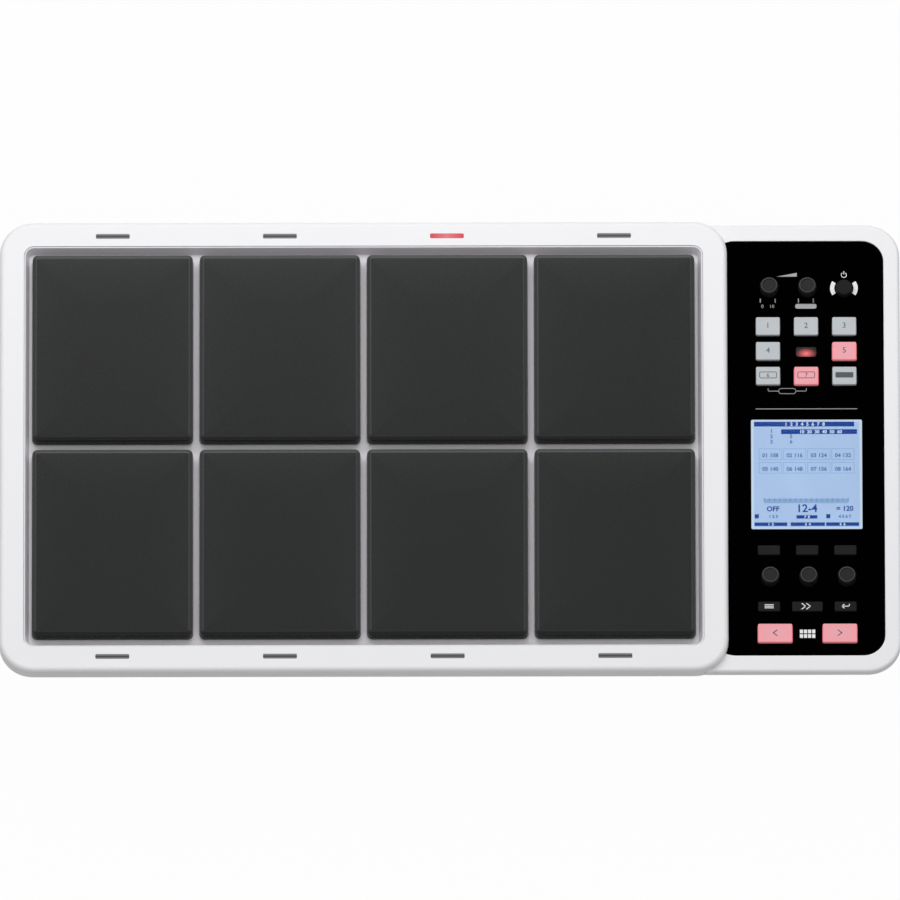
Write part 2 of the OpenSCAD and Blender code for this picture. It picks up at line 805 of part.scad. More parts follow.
// Sensor disc in the middle of each well
module pad_sensors() {
  color(brass)
    for (i = [0 : pad_columns * pad_rows - 1])
      translate([pad_x(i), pad_y(i), 0])
        bar(sensor_dia, well_z, well_z + sensor_t);
}

// Key cap with the collar that keeps it in and the stem that works its switch
module key(at, w, d, proud, tone) {
  collar_top = control_skin_z - rest_gap;
  stem_end = switch_z + key_travel + seam_gap;
  color(tone)
    translate([at[0], at[1], 0]) {
      round_top_slab(w, d, key_r, collar_top, panel_z + proud, key_edge_r);
      plate(w + 2 * collar_w, d + 2 * collar_w, key_r, collar_top - collar_t, collar_top);
      bar(stem_dia, stem_end, collar_top - collar_t);
    }
}

module grid_key(i, tone) {
  key(grid_key_places[i], grid_key_w, grid_key_d, key_proud, tone);
}

module soft_key(i) {
  key(soft_key_places[i], soft_key_w, small_key_d, small_key_proud, key_dark);
}

module lower_key(i) {
  key(menu_key_places[i], menu_key_widths[i], small_key_d, small_key_proud, key_dark);
}

module kit_key(i) {
  key(kit_key_places[i], kit_key_w, kit_key_d, key_proud, key_lit);
}

// Round power button with its collar and stem
module power_button() {
  collar_top = control_skin_z - rest_gap;
  stem_end = switch_z + power_travel + seam_gap;
  button_top = panel_z + power_proud;
  edge_r = 0.8;
  color(key_dark)
    translate([power_at[0], power_at[1], 0]) {
      rotate_extrude()
        round_top_section(power_dia / 2, collar_top, button_top, edge_r);
      bar(power_dia + 2 * collar_w, collar_top - collar_t, collar_top);
      bar(stem_dia, stem_end, collar_top - collar_t);
    }
}

// Fluted knob with its shaft
module knob(at) {
  knob_z = panel_z + knob_gap;
  color(key_dark)
    translate([at[0], at[1], 0]) {
      difference() {
        rotate_extrude()
          round_top_section(knob_dia / 2, knob_z, knob_z + knob_h, knob_edge_r);
        for (k = [0 : knob_flutes - 1])
          rotate([0, 0, k * 360 / knob_flutes])
            translate([knob_dia / 2 + flute_r / 3, 0, 0])
              bar(2 * flute_r, knob_z - cut, knob_z + knob_h - knob_edge_r - flute_r);
      }
      bar(shaft_dia, panel_board_z + rotary_h + shaft_reach, knob_z);
    }
}

// Board that carries the key switches, the rotary bodies and the display
module panel_board() {
  color(board_green)
    translate([column_x, panel_board_y, 0])
      plate(panel_board_w, panel_board_d, panel_board_r, panel_board_z - board_t, panel_board_z);
}

// One push switch under each key
module key_switches() {
  color("#1E1E20")
    for (p = switch_places)
      translate([p[0], p[1], 0]) {
        translate([-switch_w / 2, -switch_w / 2, panel_board_z])
          cube([switch_w, switch_w, switch_h]);
        bar(plunger_dia, panel_board_z + switch_h, switch_z);
      }
}

// Two potentiometers and three encoders, each with the bush that its knob's shaft turns in
module rotary_bodies() {
  bush_top = panel_z - bush_drop;
  color("#5A5C60")
    for (p = rotary_places)
      translate([p[0], p[1], 0])
        difference() {
          union() {
            translate([-rotary_w / 2, -rotary_w / 2, panel_board_z])
              cube([rotary_w, rotary_w, rotary_h]);
            bar(bush_dia, panel_board_z + rotary_h, bush_top);
          }
          bar(shaft_dia + 2 * shaft_gap, panel_board_z + rotary_h, bush_top + cut);
        }
}

// Outline of the bottom case at one level: side and front insets, with the rear wall upright
module tub_outline(inset, r, z, t) {
  d = body_d - ledge_w - inset;
  translate([0, rear_y - d / 2, z])
    linear_extrude(t)
      rounded_rect(body_w - 2 * inset, d, r, $fn = 32);
}

// Tapered body of the bottom case, drawn in by a wall for its inside
module tub_body(drawn_in, z0, z1) {
  sliver = 0.1;
  r = tub_r - drawn_in;
  lean = tub_lean * (z1 - z0 - base_chamfer) / (ledge_z - foot_h);
  hull() {
    tub_outline(ledge_w + drawn_in, r, z1 - sliver, sliver);
    tub_outline(ledge_w + drawn_in + lean, r, z0 + base_chamfer, sliver);
    tub_outline(ledge_w + drawn_in + lean + base_chamfer, r, z0, sliver);
  }
}

// Dark bottom case: a tapered tub under a rim that carries the top case
module bottom_case() {
  standoff_dia = 7;
  standoff_inset = 6;
  insert_boss = 3;
  seat_margin = 12;
  seat_r = 8;
  color(charcoal)
    difference() {
      union() {
        difference() {
          union() {
            plate(body_w - 2 * rim_setback, body_d - 2 * rim_setback, corner_r - rim_setback,
                  ledge_z, joint_z);
            tub_body(0, foot_h, ledge_z);
          }
          difference() {
            tub_body(tub_wall, floor_z, joint_z + cut);
            block(body_w, 0, rear_inner_y, body_d, 0, joint_z + 2 * cut);
          }
        }
        for (k = [-1 : 1])
          translate([frame_x + k * pad_pitch_x, 0, 0])
            bar(tub_post_dia, floor_z, tray_z - tray_t);
        for (sx = [-1, 1])
          for (sy = [-1, 1])
            translate([sx * stand_x / 2, sy * stand_y / 2, 0])
              bar(insert_dia + 2 * insert_boss, floor_z, foot_h - seat_h + insert_l + tub_wall);
        for (sx = [-1, 1])
          for (y = [main_board_rear - standoff_inset, main_board_rear - main_board_d + standoff_inset])
            translate([main_board_x + sx * (main_board_w / 2 - standoff_inset), y, 0])
              bar(standoff_dia, floor_z, main_board_z - board_t);
        plate(stand_x + 2 * seat_margin, stand_y + 2 * seat_margin, seat_r, foot_h - seat_h, foot_h);
      }
      for (sx = [-1, 1])
        for (sy = [-1, 1])
          translate([sx * stand_x / 2, sy * stand_y / 2, 0])
            bar(insert_dia, foot_h - seat_h - cut, foot_h - seat_h + insert_l);
      for (x = screw_xs)
        for (side = [-1, 1])
          translate([x, side * screw_y, 0])
            bar(screw_dia + 2 * screw_gap, ledge_z - cut, joint_z + cut);
      socket_holes();
    }
}

// Holes in the rear wall for the sockets
module socket_holes() {
  y0 = rear_inner_y - cut;
  y1 = rear_y + cut;
  for (i = [0 : jack_count - 1])
    rear_bar(jack_nose_dia, jack_x(i), jack_z, y0, y1);
  for (i = [0, 1])
    rear_bar(din_dia + 2 * socket_gap, din_x(i), din_z, y0, y1);
  for (i = [0, 1])
    block(usb_w + 2 * socket_gap, usb_x(i), y0, y1,
          main_board_z - socket_gap, main_board_z + usb_h + socket_gap);
  rear_bar(dc_w + 2 * socket_gap, dc_x, dc_z, y0, y1);
}

// Phone jacks on the main board, each with its nose behind a hole in the rear wall
module phone_jacks() {
  color("#26272A")
    for (i = [0 : jack_count - 1])
      difference() {
        union() {
          block(jack_w, jack_x(i), jack_face_y - jack_nose_l - jack_l, jack_face_y - jack_nose_l,
                main_board_z, main_board_z + jack_h);
          rear_bar(jack_nose_dia, jack_x(i), jack_z, jack_face_y - jack_nose_l, jack_face_y);
        }
        rear_bar(jack_bore_dia, jack_x(i), jack_z, jack_face_y - jack_bore_l, jack_face_y + cut);
      }
}

// Two round five-pin sockets with their faces in the rear wall
module din_sockets() {
  face_y = rear_y - seam_gap;
  body_y = rear_inner_y - seam_gap;
  color("#26272A")
    for (i = [0, 1])
      difference() {
        union() {
          block(din_w, din_x(i), body_y - din_l, body_y, main_board_z, main_board_z + din_h);
          rear_bar(din_dia, din_x(i), din_z, body_y, face_y);
        }
        for (k = [0 : 4])
          rear_bar(din_pin_dia, din_x(i) + din_pin_ring / 2 * cos(180 + k * 45),
                   din_z + din_pin_ring / 2 * sin(180 + k * 45), face_y - din_pin_depth, face_y + cut);
      }
}

// Two square data sockets, each with a tongue in its mouth
module usb_sockets() {
  face_y = rear_y - seam_gap;
  color(steel)
    for (i = [0, 1]) {
      difference() {
        block(usb_w, usb_x(i), face_y - usb_l, face_y, main_board_z, main_board_z + usb_h);
        block(usb_mouth[0], usb_x(i), face_y - usb_depth, face_y + cut,
              usb_z - usb_mouth[1] / 2, usb_z + usb_mouth[1] / 2);
      }
      block(usb_tongue[0], usb_x(i), face_y - usb_depth, face_y - cut,
            usb_z - usb_tongue[1] / 2, usb_z + usb_tongue[1] / 2);
    }
}

// Power inlet with its centre pin
module power_inlet() {
  face_y = rear_y - seam_gap;
  body_y = rear_inner_y - seam_gap;
  color("#26272A") {
    difference() {
      union() {
        block(dc_w, dc_x, body_y - dc_l, body_y, main_board_z, main_board_z + dc_h);
        rear_bar(dc_w, dc_x, dc_z, body_y, face_y);
      }
      rear_bar(dc_mouth_dia, dc_x, dc_z, face_y - dc_depth, face_y + cut);
    }
    rear_bar(dc_pin_dia, dc_x, dc_z, face_y - dc_depth, face_y - cut);
  }
}

// Board that carries the sockets, on four standoffs
module main_board() {
  color(board_green)
    translate([main_board_x, main_board_rear - main_board_d / 2, 0])
      plate(main_board_w, main_board_d, board_r, main_board_z - board_t, main_board_z);
}

// Four rubber feet, drawn in towards the floor
module rubber_feet() {
  draw_in = 1.5;
  base_inset = ledge_w + tub_lean + base_chamfer;
  foot_x = right_x - base_inset - foot_inset;
  color("#1C1C1D")
    for (sx = [-1, 1])
      for (y = [-body_d / 2 + base_inset + foot_inset_front, rear_y - foot_inset])
        translate([sx * foot_x, y, 0])
          rotate_extrude()
            polygon([[0, 0], [foot_dia / 2 - draw_in, 0], [foot_dia / 2, draw_in],
                     [foot_dia / 2, foot_h], [0, foot_h]]);
}

// Screws that hold the top case on the rim, heads below
module case_screws() {
  color(steel)
    for (i = [0 : len(screw_xs) - 1])
      for (side = [-1, 1])
        translate([screw_xs[i], side * screw_y, 0]) {
          bar(screw_head_dia, ledge_z - screw_head_h, ledge_z);
          bar(screw_dia, ledge_z, screw_ends[i] - 2 * screw_spare);
        }
}

// Four brass inserts for the stand's clamp plate
module stand_inserts() {
  z0 = foot_h - seat_h;
  color(brass)
    for (sx = [-1, 1])
      for (sy = [-1, 1])
        translate([sx * stand_x / 2, sy * stand_y / 2, 0])
          difference() {
            bar(insert_dia, z0, z0 + insert_l);
            bar(stand_hole_dia, z0 - cut, z0 + insert_l + cut);
          }
}

pad_frame();
control_case();
bottom_case();
pad_tray();
control_panel();
lcd_window();
lcd_module();
pad_lamps();
status_lamp();
pad_foams();
pad_sensors();
for (i = [0 : pad_columns * pad_rows - 1]) {
  pad(i);
  pad_plate(i);
}
for (i = [0 : len(grid_places) - 1])
  grid_key(i, i == 4 || i == 6 ? key_lit : key_grey);
for (i = [0 : 2])
  soft_key(i);
lower_key(0);  // menu_key
lower_key(1);  // quick_key
lower_key(2);  // back_key
kit_key(0);  // kit_key_down
kit_key(1);  // kit_key_up
power_button();
knob(volume_at(0));  // volume_knob_phones
knob(volume_at(1));  // volume_knob_output
for (i = [0 : 2])
  knob(encoder_at(i));
panel_board();
key_switches();
rotary_bodies();
main_board();
phone_jacks();
din_sockets();
usb_sockets();
power_inlet();
rubber_feet();
case_screws();
stand_inserts();
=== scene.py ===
# Electronic percussion pad: finishes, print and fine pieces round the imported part, in metres
import math

import bmesh
import bpy
from mathutils import Matrix, Vector


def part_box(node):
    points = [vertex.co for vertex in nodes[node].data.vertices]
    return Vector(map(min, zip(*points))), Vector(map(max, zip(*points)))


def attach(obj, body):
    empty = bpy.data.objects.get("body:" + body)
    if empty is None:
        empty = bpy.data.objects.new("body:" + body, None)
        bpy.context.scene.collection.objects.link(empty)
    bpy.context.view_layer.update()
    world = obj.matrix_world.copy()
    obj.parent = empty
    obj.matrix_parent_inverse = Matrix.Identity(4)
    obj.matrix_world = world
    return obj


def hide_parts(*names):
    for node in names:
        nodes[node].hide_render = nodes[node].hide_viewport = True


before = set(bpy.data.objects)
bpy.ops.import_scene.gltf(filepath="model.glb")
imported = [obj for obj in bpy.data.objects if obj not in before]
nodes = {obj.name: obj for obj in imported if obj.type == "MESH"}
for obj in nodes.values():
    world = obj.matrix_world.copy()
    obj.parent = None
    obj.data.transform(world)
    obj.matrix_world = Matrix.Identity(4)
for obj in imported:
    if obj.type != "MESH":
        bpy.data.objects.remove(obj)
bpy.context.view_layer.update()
mm = 0.001
print("frame loaded:", len(nodes), "nodes")


# Small tools

def linear(hexColour):
    parts = [int(hexColour[i:i + 2], 16) / 255 for i in (1, 3, 5)]
    return [c / 12.92 if c <= 0.04045 else ((c + 0.055) / 1.055) ** 2.4 for c in parts] + [1.0]


def addNode(tree, kind, inputs=None, **settings):
    node = tree.nodes.new(kind)
    for name, value in settings.items():
        setattr(node, name, value)
    for key, value in (inputs or {}).items():
        if isinstance(value, bpy.types.NodeSocket):
            tree.links.new(value, node.inputs[key])
        else:
            node.inputs[key].default_value = value
    return node


# Middle of a CAD node seen from above, with the height of its top
def middleOf(name):
    low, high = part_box(name)
    return (low.x + high.x) / 2, (low.y + high.y) / 2, high.z


# Boxes of the separate solids of a CAD node, from front to rear and left to right
def solidBoxes(name):
    bm = bmesh.new()
    bm.from_mesh(nodes[name].data)
    bmesh.ops.remove_doubles(bm, verts=bm.verts, dist=1e-6)
    left = set(bm.verts)
    boxes = []
    while left:
        queue = [left.pop()]
        found = []
        while queue:
            v = queue.pop()
            found.append(v.co.copy())
            for edge in v.link_edges:
                other = edge.other_vert(v)
                if other in left:
                    left.remove(other)
                    queue.append(other)
        low = Vector([min(p[k] for p in found) for k in range(3)])
        high = Vector([max(p[k] for p in found) for k in range(3)])
        boxes.append((low, high))
    bm.free()
    return sorted(boxes, key=lambda box: (round(box[0].y, 4), round(box[0].x, 4)))


# Materials

def startMaterial(name, colour, roughness, sockets=None):
    material = bpy.data.materials.new(name)
    material.use_nodes = True
    tree = material.node_tree
    shader = tree.nodes["Principled BSDF"]
    shader.inputs["Base Color"].default_value = linear(colour)
    shader.inputs["Roughness"].default_value = roughness
    for key, value in (sockets or {}).items():
        shader.inputs[key].default_value = value
    return material, tree, shader


# Fine grain, soft clouds in the colour and a roughness that follows the grain, with sizes in mm
def addGrain(tree, shader, grain, depth, tints, rough, cloud=60):
    coords = addNode(tree, "ShaderNodeTexCoord").outputs["Object"]
    fine = addNode(tree, "ShaderNodeTexNoise", {"Vector": coords, "Scale": 1 / (grain * mm), "Detail": 3.0})
    broad = addNode(tree, "ShaderNodeTexNoise", {"Vector": coords, "Scale": 1 / (cloud * mm), "Detail": 4.0})
    tint = addNode(tree, "ShaderNodeMix", {0: broad.outputs[0], 6: linear(tints[0]), 7: linear(tints[1])},
                   data_type="RGBA")
    tree.links.new(tint.outputs[2], shader.inputs["Base Color"])
    spread = addNode(tree, "ShaderNodeMapRange", {
        "Value": fine.outputs[0], "From Min": 0.3, "From Max": 0.7, "To Min": rough[0], "To Max": rough[1]})
    tree.links.new(spread.outputs[0], shader.inputs["Roughness"])
    bump = addNode(tree, "ShaderNodeBump", {
        "Height": fine.outputs[0], "Distance": depth * mm, "Strength": 0.6})
    tree.links.new(bump.outputs[0], shader.inputs["Normal"])
    return coords


# Moulded ABS with a spark-eroded satin: soft white, faintly cool, its grain drawn at 0.8 mm so that it shows
def whiteAbs():
    material, tree, shader = startMaterial("whiteAbsSatin", "#EEEEF1", 0.45, {"IOR": 1.53})
    addGrain(tree, shader, 0.8, 0.010, ("#ECECEF", "#F1F1F3"), (0.40, 0.50))
    return material


# Dark ABS of the underside, with a coarser tool texture that hides scuffs
def charcoalAbs():
    material, tree, shader = startMaterial("charcoalAbsTextured", "#3C3D40", 0.55, {"IOR": 1.53})
    addGrain(tree, shader, 1.2, 0.05, ("#38393C", "#404144"), (0.48, 0.66))
    return material


# Pale grey ABS tray, matt from a fine tool texture
def greyAbs():
    material, tree, shader = startMaterial("greyAbsMatt", "#E4E1E6", 0.55, {"IOR": 1.53})
    addGrain(tree, shader, 0.8, 0.012, ("#E0DDE2", "#E8E5EA"), (0.50, 0.62))
    return material


# Moulded striking rubber: near black with a low satin, a fine leather-like grain and a little bloom
def strikingRubber():
    material, tree, shader = startMaterial("strikingRubber", "#0F1111", 0.25, {
        "IOR": 1.52, "Specular IOR Level": 0.13, "Sheen Weight": 0.2, "Sheen Roughness": 0.35})
    addGrain(tree, shader, 0.9, 0.03, ("#0D0F0F", "#111313"), (0.20, 0.30), cloud=45)
    return material


# Matt polycarbonate sheet printed black on its back: an even, deep black that shows no highlight
def panelSheet():
    material, tree, shader = startMaterial("blackPrintedSheet", "#020202", 0.34, {
        "IOR": 1.49, "Specular IOR Level": 0.0})
    addGrain(tree, shader, 0.7, 0.004, ("#010101", "#020202"), (0.30, 0.40))
    return material


# Clear acrylic window: almost all of the light goes straight through, and a faint polish stays
def clearAcrylic():
    return startMaterial("clearAcrylic", "#10141A", 0.06, {"IOR": 1.49, "Alpha": 0.06})[0]


# Backlit display layer: its colour is all glow, and drifts between two tints over about 25 mm
def displayGlow(name, tints, strength):
    material, tree, shader = startMaterial(name, "#05070A", 0.6, {
        "Emission Strength": strength, "Specular IOR Level": 0.0})
    coords = addNode(tree, "ShaderNodeTexCoord").outputs["Object"]
    cloud = addNode(tree, "ShaderNodeTexNoise", {"Vector": coords, "Scale": 1 / (25 * mm), "Detail": 1.0})
    tint = addNode(tree, "ShaderNodeMix", {0: cloud.outputs[0], 6: linear(tints[0]), 7: linear(tints[1])},
                   data_type="RGBA")
    tree.links.new(tint.outputs[2], shader.inputs["Emission Color"])
    return material


# Silk-screened ink, slightly uneven in cover
def screenInk(name, tints, rough):
    material, tree, shader = startMaterial(name, tints[0], rough)
    addGrain(tree, shader, 0.5, 0.004, tints, (rough - 0.05, rough + 0.05), cloud=4)
    return material


lightBar = {
    "core": "#38383B",                # unlit, darkest along its middle, which is painted shade
    "rim": ("#8A898D", "#929195"),
    "coreEnds": (0.05, 0.5),          # from here to here it pales, as shares of the bar's half depth
    "litColumn": 2,                   # which bar of the rear row is lit, counted from 0 at the left
    "litBase": "#300A0E",
    "litEnd": "#E83A4E",
    "litHeart": "#F0828C",
    "litReach": 0.9,                  # share of the bar's half width where it is reddest
    "strength": 0.8,
}


# Smoked light bars: grey with painted shade along the middle when unlit, and one of them lit, reddest at its
# ends
def lampLens():
    material, tree, shader = startMaterial("smokedLightBar", lightBar["core"], 0.35, {
        "IOR": 1.5, "Specular IOR Level": 0.2})
    coords = addGrain(tree, shader, 0.8, 0.004, lightBar["rim"], (0.30, 0.42))
    bars = solidBoxes("pad_lamps")
    frontY = (bars[0][0].y + bars[0][1].y) / 2
    low, high = bars[len(bars) // 2:][lightBar["litColumn"]]
    litX, rearY = (low.x + high.x) / 2, (low.y + high.y) / 2
    halfW, halfD = (high.x - low.x) / 2, (high.y - low.y) / 2
    middleY = (rearY + frontY) / 2
    # X becomes the distance from the lit bar's middle, and Y the distance from the nearer row's
    spot = coords
    for shift in ((litX, middleY, 0), (0, (rearY - frontY) / 2, 0)):
        moved = addNode(tree, "ShaderNodeVectorMath", {0: spot, 1: shift}, operation="SUBTRACT")
        spot = addNode(tree, "ShaderNodeVectorMath", {0: moved.outputs[0]}, operation="ABSOLUTE").outputs[0]
    away = addNode(tree, "ShaderNodeSeparateXYZ", {0: spot}).outputs
    place = addNode(tree, "ShaderNodeSeparateXYZ", {0: coords}).outputs
    inRear = addNode(tree, "ShaderNodeMath", {0: place["Y"], 1: middleY}, operation="GREATER_THAN")
    inColumn = addNode(tree, "ShaderNodeMath", {0: away["X"], 1: halfW}, operation="LESS_THAN")
    lit = addNode(tree, "ShaderNodeMath", {0: inRear.outputs[0], 1: inColumn.outputs[0]},
                  operation="MULTIPLY")
    coreFrom, coreTo = lightBar["coreEnds"]
    paler = addNode(tree, "ShaderNodeMapRange", {
        "Value": away["Y"], "From Min": halfD * coreFrom, "From Max": halfD * coreTo})
    heart = addNode(tree, "ShaderNodeMapRange", {
        "Value": away["X"], "From Max": halfW * lightBar["litReach"], "To Min": 1.0, "To Max": 0.0})
    base = shader.inputs["Base Color"]
    # painted shade: the unlit bar is darker along its middle and paler towards its rim
    unlit = addNode(tree, "ShaderNodeMix", {
        0: paler.outputs[0], 6: linear(lightBar["core"]), 7: base.links[0].from_socket}, data_type="RGBA")
    tint = addNode(tree, "ShaderNodeMix", {
        0: lit.outputs[0], 6: unlit.outputs[2], 7: linear(lightBar["litBase"])}, data_type="RGBA")
    tree.links.new(tint.outputs[2], base)
    glow = addNode(tree, "ShaderNodeMix", {
        0: heart.outputs[0], 6: linear(lightBar["litEnd"]), 7: linear(lightBar["litHeart"])},
        data_type="RGBA")
    tree.links.new(glow.outputs[2], shader.inputs["Emission Color"])
    strength = addNode(tree, "ShaderNodeMath", {0: lit.outputs[0], 1: lightBar["strength"]},
                       operation="MULTIPLY")
    tree.links.new(strength.outputs[0], shader.inputs["Emission Strength"])
    return material


statusGlow = {
    "forward": 1.2 * mm,              # from the lens's middle to the diode's
    "reach": (6.4 * mm, 3.8 * mm, 9 * mm),
    "edge": "#700014",
    "heart": "#FF7A80",
    "fall": 0.75,                     # under 1 holds the glow longer before it fades
}


# Smoked lens with one red diode under it: a glow that fades to black towards the lens's edge
def statusLens():
    material, tree, shader = startMaterial("smokedRedLens", "#0A0304", 0.3, {
        "IOR": 1.5, "Specular IOR Level": 0.15})
    x, y, top = middleOf("status_lamp")
    diode = (x, y - statusGlow["forward"], top)
    reach = statusGlow["reach"]
    coords = addNode(tree, "ShaderNodeTexCoord").outputs["Object"]
    place = addNode(tree, "ShaderNodeMapping", {
        "Vector": coords, "Location": [-c / r for c, r in zip(diode, reach)],
        "Scale": [1 / r for r in reach]}, vector_type="POINT")
    ball = addNode(tree, "ShaderNodeTexGradient", {0: place.outputs[0]}, gradient_type="SPHERICAL")
    soft = addNode(tree, "ShaderNodeMath", {0: ball.outputs[1], 1: statusGlow["fall"]}, operation="POWER")
    tint = addNode(tree, "ShaderNodeMix", {
        0: soft.outputs[0], 6: linear(statusGlow["edge"]), 7: linear(statusGlow["heart"])},
        data_type="RGBA")
    tree.links.new(tint.outputs[2], shader.inputs["Emission Color"])
    tree.links.new(soft.outputs[0], shader.inputs["Emission Strength"])
    return material


# Moulded key with a soft silicone coat: an even, matt face with a faint grain, which may glow
def keyPlastic(name, tints, shine, glow=0.0):
    material, tree, shader = startMaterial(name, tints[0], 0.5, {
        "IOR": 1.45, "Specular IOR Level": shine, "Emission Strength": glow})
    addGrain(tree, shader, 0.6, 0.008, tints, (0.42, 0.55), cloud=12)
    return material


litKeys = {
    "names": ["grid_key_5", "grid_key_7", "kit_key_down", "kit_key_up"],
    "tints": ("#D29199", "#D99BA3"),
    "heart": "#C48389",
    "edge": "#E36C73",
    "strength": 0.36,
    "edgeEnds": (0.4, 0.9),           # from here to here it reddens, as shares of the key's half size
}


# The same plastic with a red lamp under it: a glow that is redder towards the key's edge
def litKeyPlastic():
    material = keyPlastic("litPinkKey", litKeys["tints"], 0.3, litKeys["strength"])
    tree = material.node_tree
    coords = addNode(tree, "ShaderNodeTexCoord").outputs["Object"]
    toEdge = 1.0
    for name in litKeys["names"]:
        low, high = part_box(name)
        moved = addNode(tree, "ShaderNodeVectorMath", {0: coords, 1: (low + high) / 2}, operation="SUBTRACT")
        share = addNode(tree, "ShaderNodeVectorMath", {0: moved.outputs[0], 1: (high - low) / 2},
                        operation="DIVIDE")
        away = addNode(tree, "ShaderNodeVectorMath", {0: share.outputs[0]}, operation="ABSOLUTE")
        side = addNode(tree, "ShaderNodeSeparateXYZ", {0: away.outputs[0]}).outputs
        further = addNode(tree, "ShaderNodeMath", {0: side["X"], 1: side["Y"]}, operation="MAXIMUM")
        toEdge = addNode(tree, "ShaderNodeMath", {0: toEdge, 1: further.outputs[0]},
                         operation="MINIMUM").outputs[0]
    edgeFrom, edgeTo = litKeys["edgeEnds"]
    redder = addNode(tree, "ShaderNodeMapRange", {
        "Value": toEdge, "From Min": edgeFrom, "From Max": edgeTo})
    glow = addNode(tree, "ShaderNodeMix", {
        0: redder.outputs[0], 6: linear(litKeys["heart"]), 7: linear(litKeys["edge"])}, data_type="RGBA")
    tree.links.new(glow.outputs[2], tree.nodes["Principled BSDF"].inputs["Emission Color"])
    return material


# Matt moulded plastic, rubber or foam, for knobs, sockets, feet and switch bodies
def mattMoulding(name, tints, rough, shine=0.3, grain=0.6, depth=0.02):
    material, tree, shader = startMaterial(name, tints[0], rough, {"IOR": 1.5, "Specular IOR Level": shine})
    addGrain(tree, shader, grain, depth, tints, (rough - 0.07, rough + 0.07), cloud=20)
    return material


# Painted highlight: edges made paler where a mesh carries the highlight attribute, standing in for light
# caught on their rounding
def addWornEdge(material, colour):
    tree = material.node_tree
    base = tree.nodes["Principled BSDF"].inputs["Base Color"]
    edgeHighlight = addNode(tree, "ShaderNodeAttribute", attribute_name="edgeHighlight").outputs["Fac"]
    paintedHighlight = addNode(tree, "ShaderNodeMix", {0: edgeHighlight, 6: base.links[0].from_socket, 7: linear(colour)},
                   data_type="RGBA")
    tree.links.new(paintedHighlight.outputs[2], base)
    return material


# Plated, cast or turned metal, a little uneven in its shine
def plainMetal(name, tints, rough):
    material, tree, shader = startMaterial(name, tints[0], rough, {"Metallic": 1.0})
    addGrain(tree, shader, 0.5, 0.006, tints, (rough - 0.06, rough + 0.08), cloud=8)
    return material


# Fibre-glass board under green solder mask, with a faint net of tracks
def solderMask():
    material, tree, shader = startMaterial("greenSolderMask", "#1F5A38", 0.35, {"IOR": 1.5})
    coords = addNode(tree, "ShaderNodeTexCoord").outputs["Object"]
    tracks = addNode(tree, "ShaderNodeTexBrick", {
        "Vector": coords, "Scale": 1 / (6 * mm), "Color1": linear("#1C5434"), "Color2": linear("#20603B"),
        "Mortar": linear("#2F7A4E"), "Mortar Size": 0.03, "Brick Width": 1.4, "Row Height": 0.5})
    tree.links.new(tracks.outputs["Color"], shader.inputs["Base Color"])
    return material


looks = {
    "white": whiteAbs(),
    "charcoal": charcoalAbs(),
    "tray": greyAbs(),
    # the pads' edges get a painted highlight in this pale grey
    "rubber": addWornEdge(strikingRubber(), "#5A5B5C"),
    "panel": panelSheet(),
    "window": clearAcrylic(),
    "displayField": displayGlow("displayField", ("#A3BDE2", "#AFC9EE"), 1.1),
    "displayBorder": displayGlow("displayPale", ("#C7DAEF", "#D3E6FB"), 1.0),
    "displayDark": displayGlow("displayDarkInk", ("#1C4298", "#284EA4"), 0.95),
    "displayMid": displayGlow("displayMidInk", ("#537AB0", "#5F86BC"), 1.0),
    "displaySoft": displayGlow("displaySoftInk", ("#83A6D0", "#8FB2DC"), 1.05),
    "lamps": lampLens(),
    "status": statusLens(),
    "greyKey": keyPlastic("paleGreyKey", ("#BBC0C4", "#C2C7CB"), 0.3),
    "litKey": litKeyPlastic(),
    "darkKey": keyPlastic("darkGreyKey", ("#161617", "#1B1B1C"), 0.08),
    # the knobs' top edges get a painted highlight ring in this grey
    "knob": addWornEdge(mattMoulding("mattBlackKnob", ("#171718", "#1B1B1C"), 0.45, 0.13), "#4C4C4D"),
    "nylon": mattMoulding("blackNylon", ("#161617", "#1C1C1E"), 0.45),
    "switches": mattMoulding("switchNylon", ("#1B1B1D", "#222224"), 0.4),
    "foot": mattMoulding("footRubber", ("#141415", "#1B1B1C"), 0.7, 0.3, 1.0, 0.04),
    "foam": mattMoulding("closedCellFoam", ("#2A2A2D", "#38383B"), 0.85, 0.2, 1.6, 0.3),
    "printWhite": screenInk("whiteScreenInk", ("#E8E8E8", "#F2F2F2"), 0.5),
    "printGrey": screenInk("greyScreenInk", ("#9A9B9D", "#A8A9AB"), 0.5),
    "printDark": screenInk("darkScreenInk", ("#30353A", "#3A4046"), 0.5),
    "board": solderMask(),
    "brass": plainMetal("turnedBrass", ("#B8974E", "#C9A95F"), 0.32),
    "steel": plainMetal("zincPlatedSteel", ("#A9ABAF", "#BEC0C4"), 0.36),
    "darkSteel": plainMetal("blackZincSteel", ("#4A4B4E", "#5A5B5F"), 0.42),
    "zinc": plainMetal("zincCasting", ("#8E9094", "#9DA0A4"), 0.5),
}
print("materials made:", len(looks))

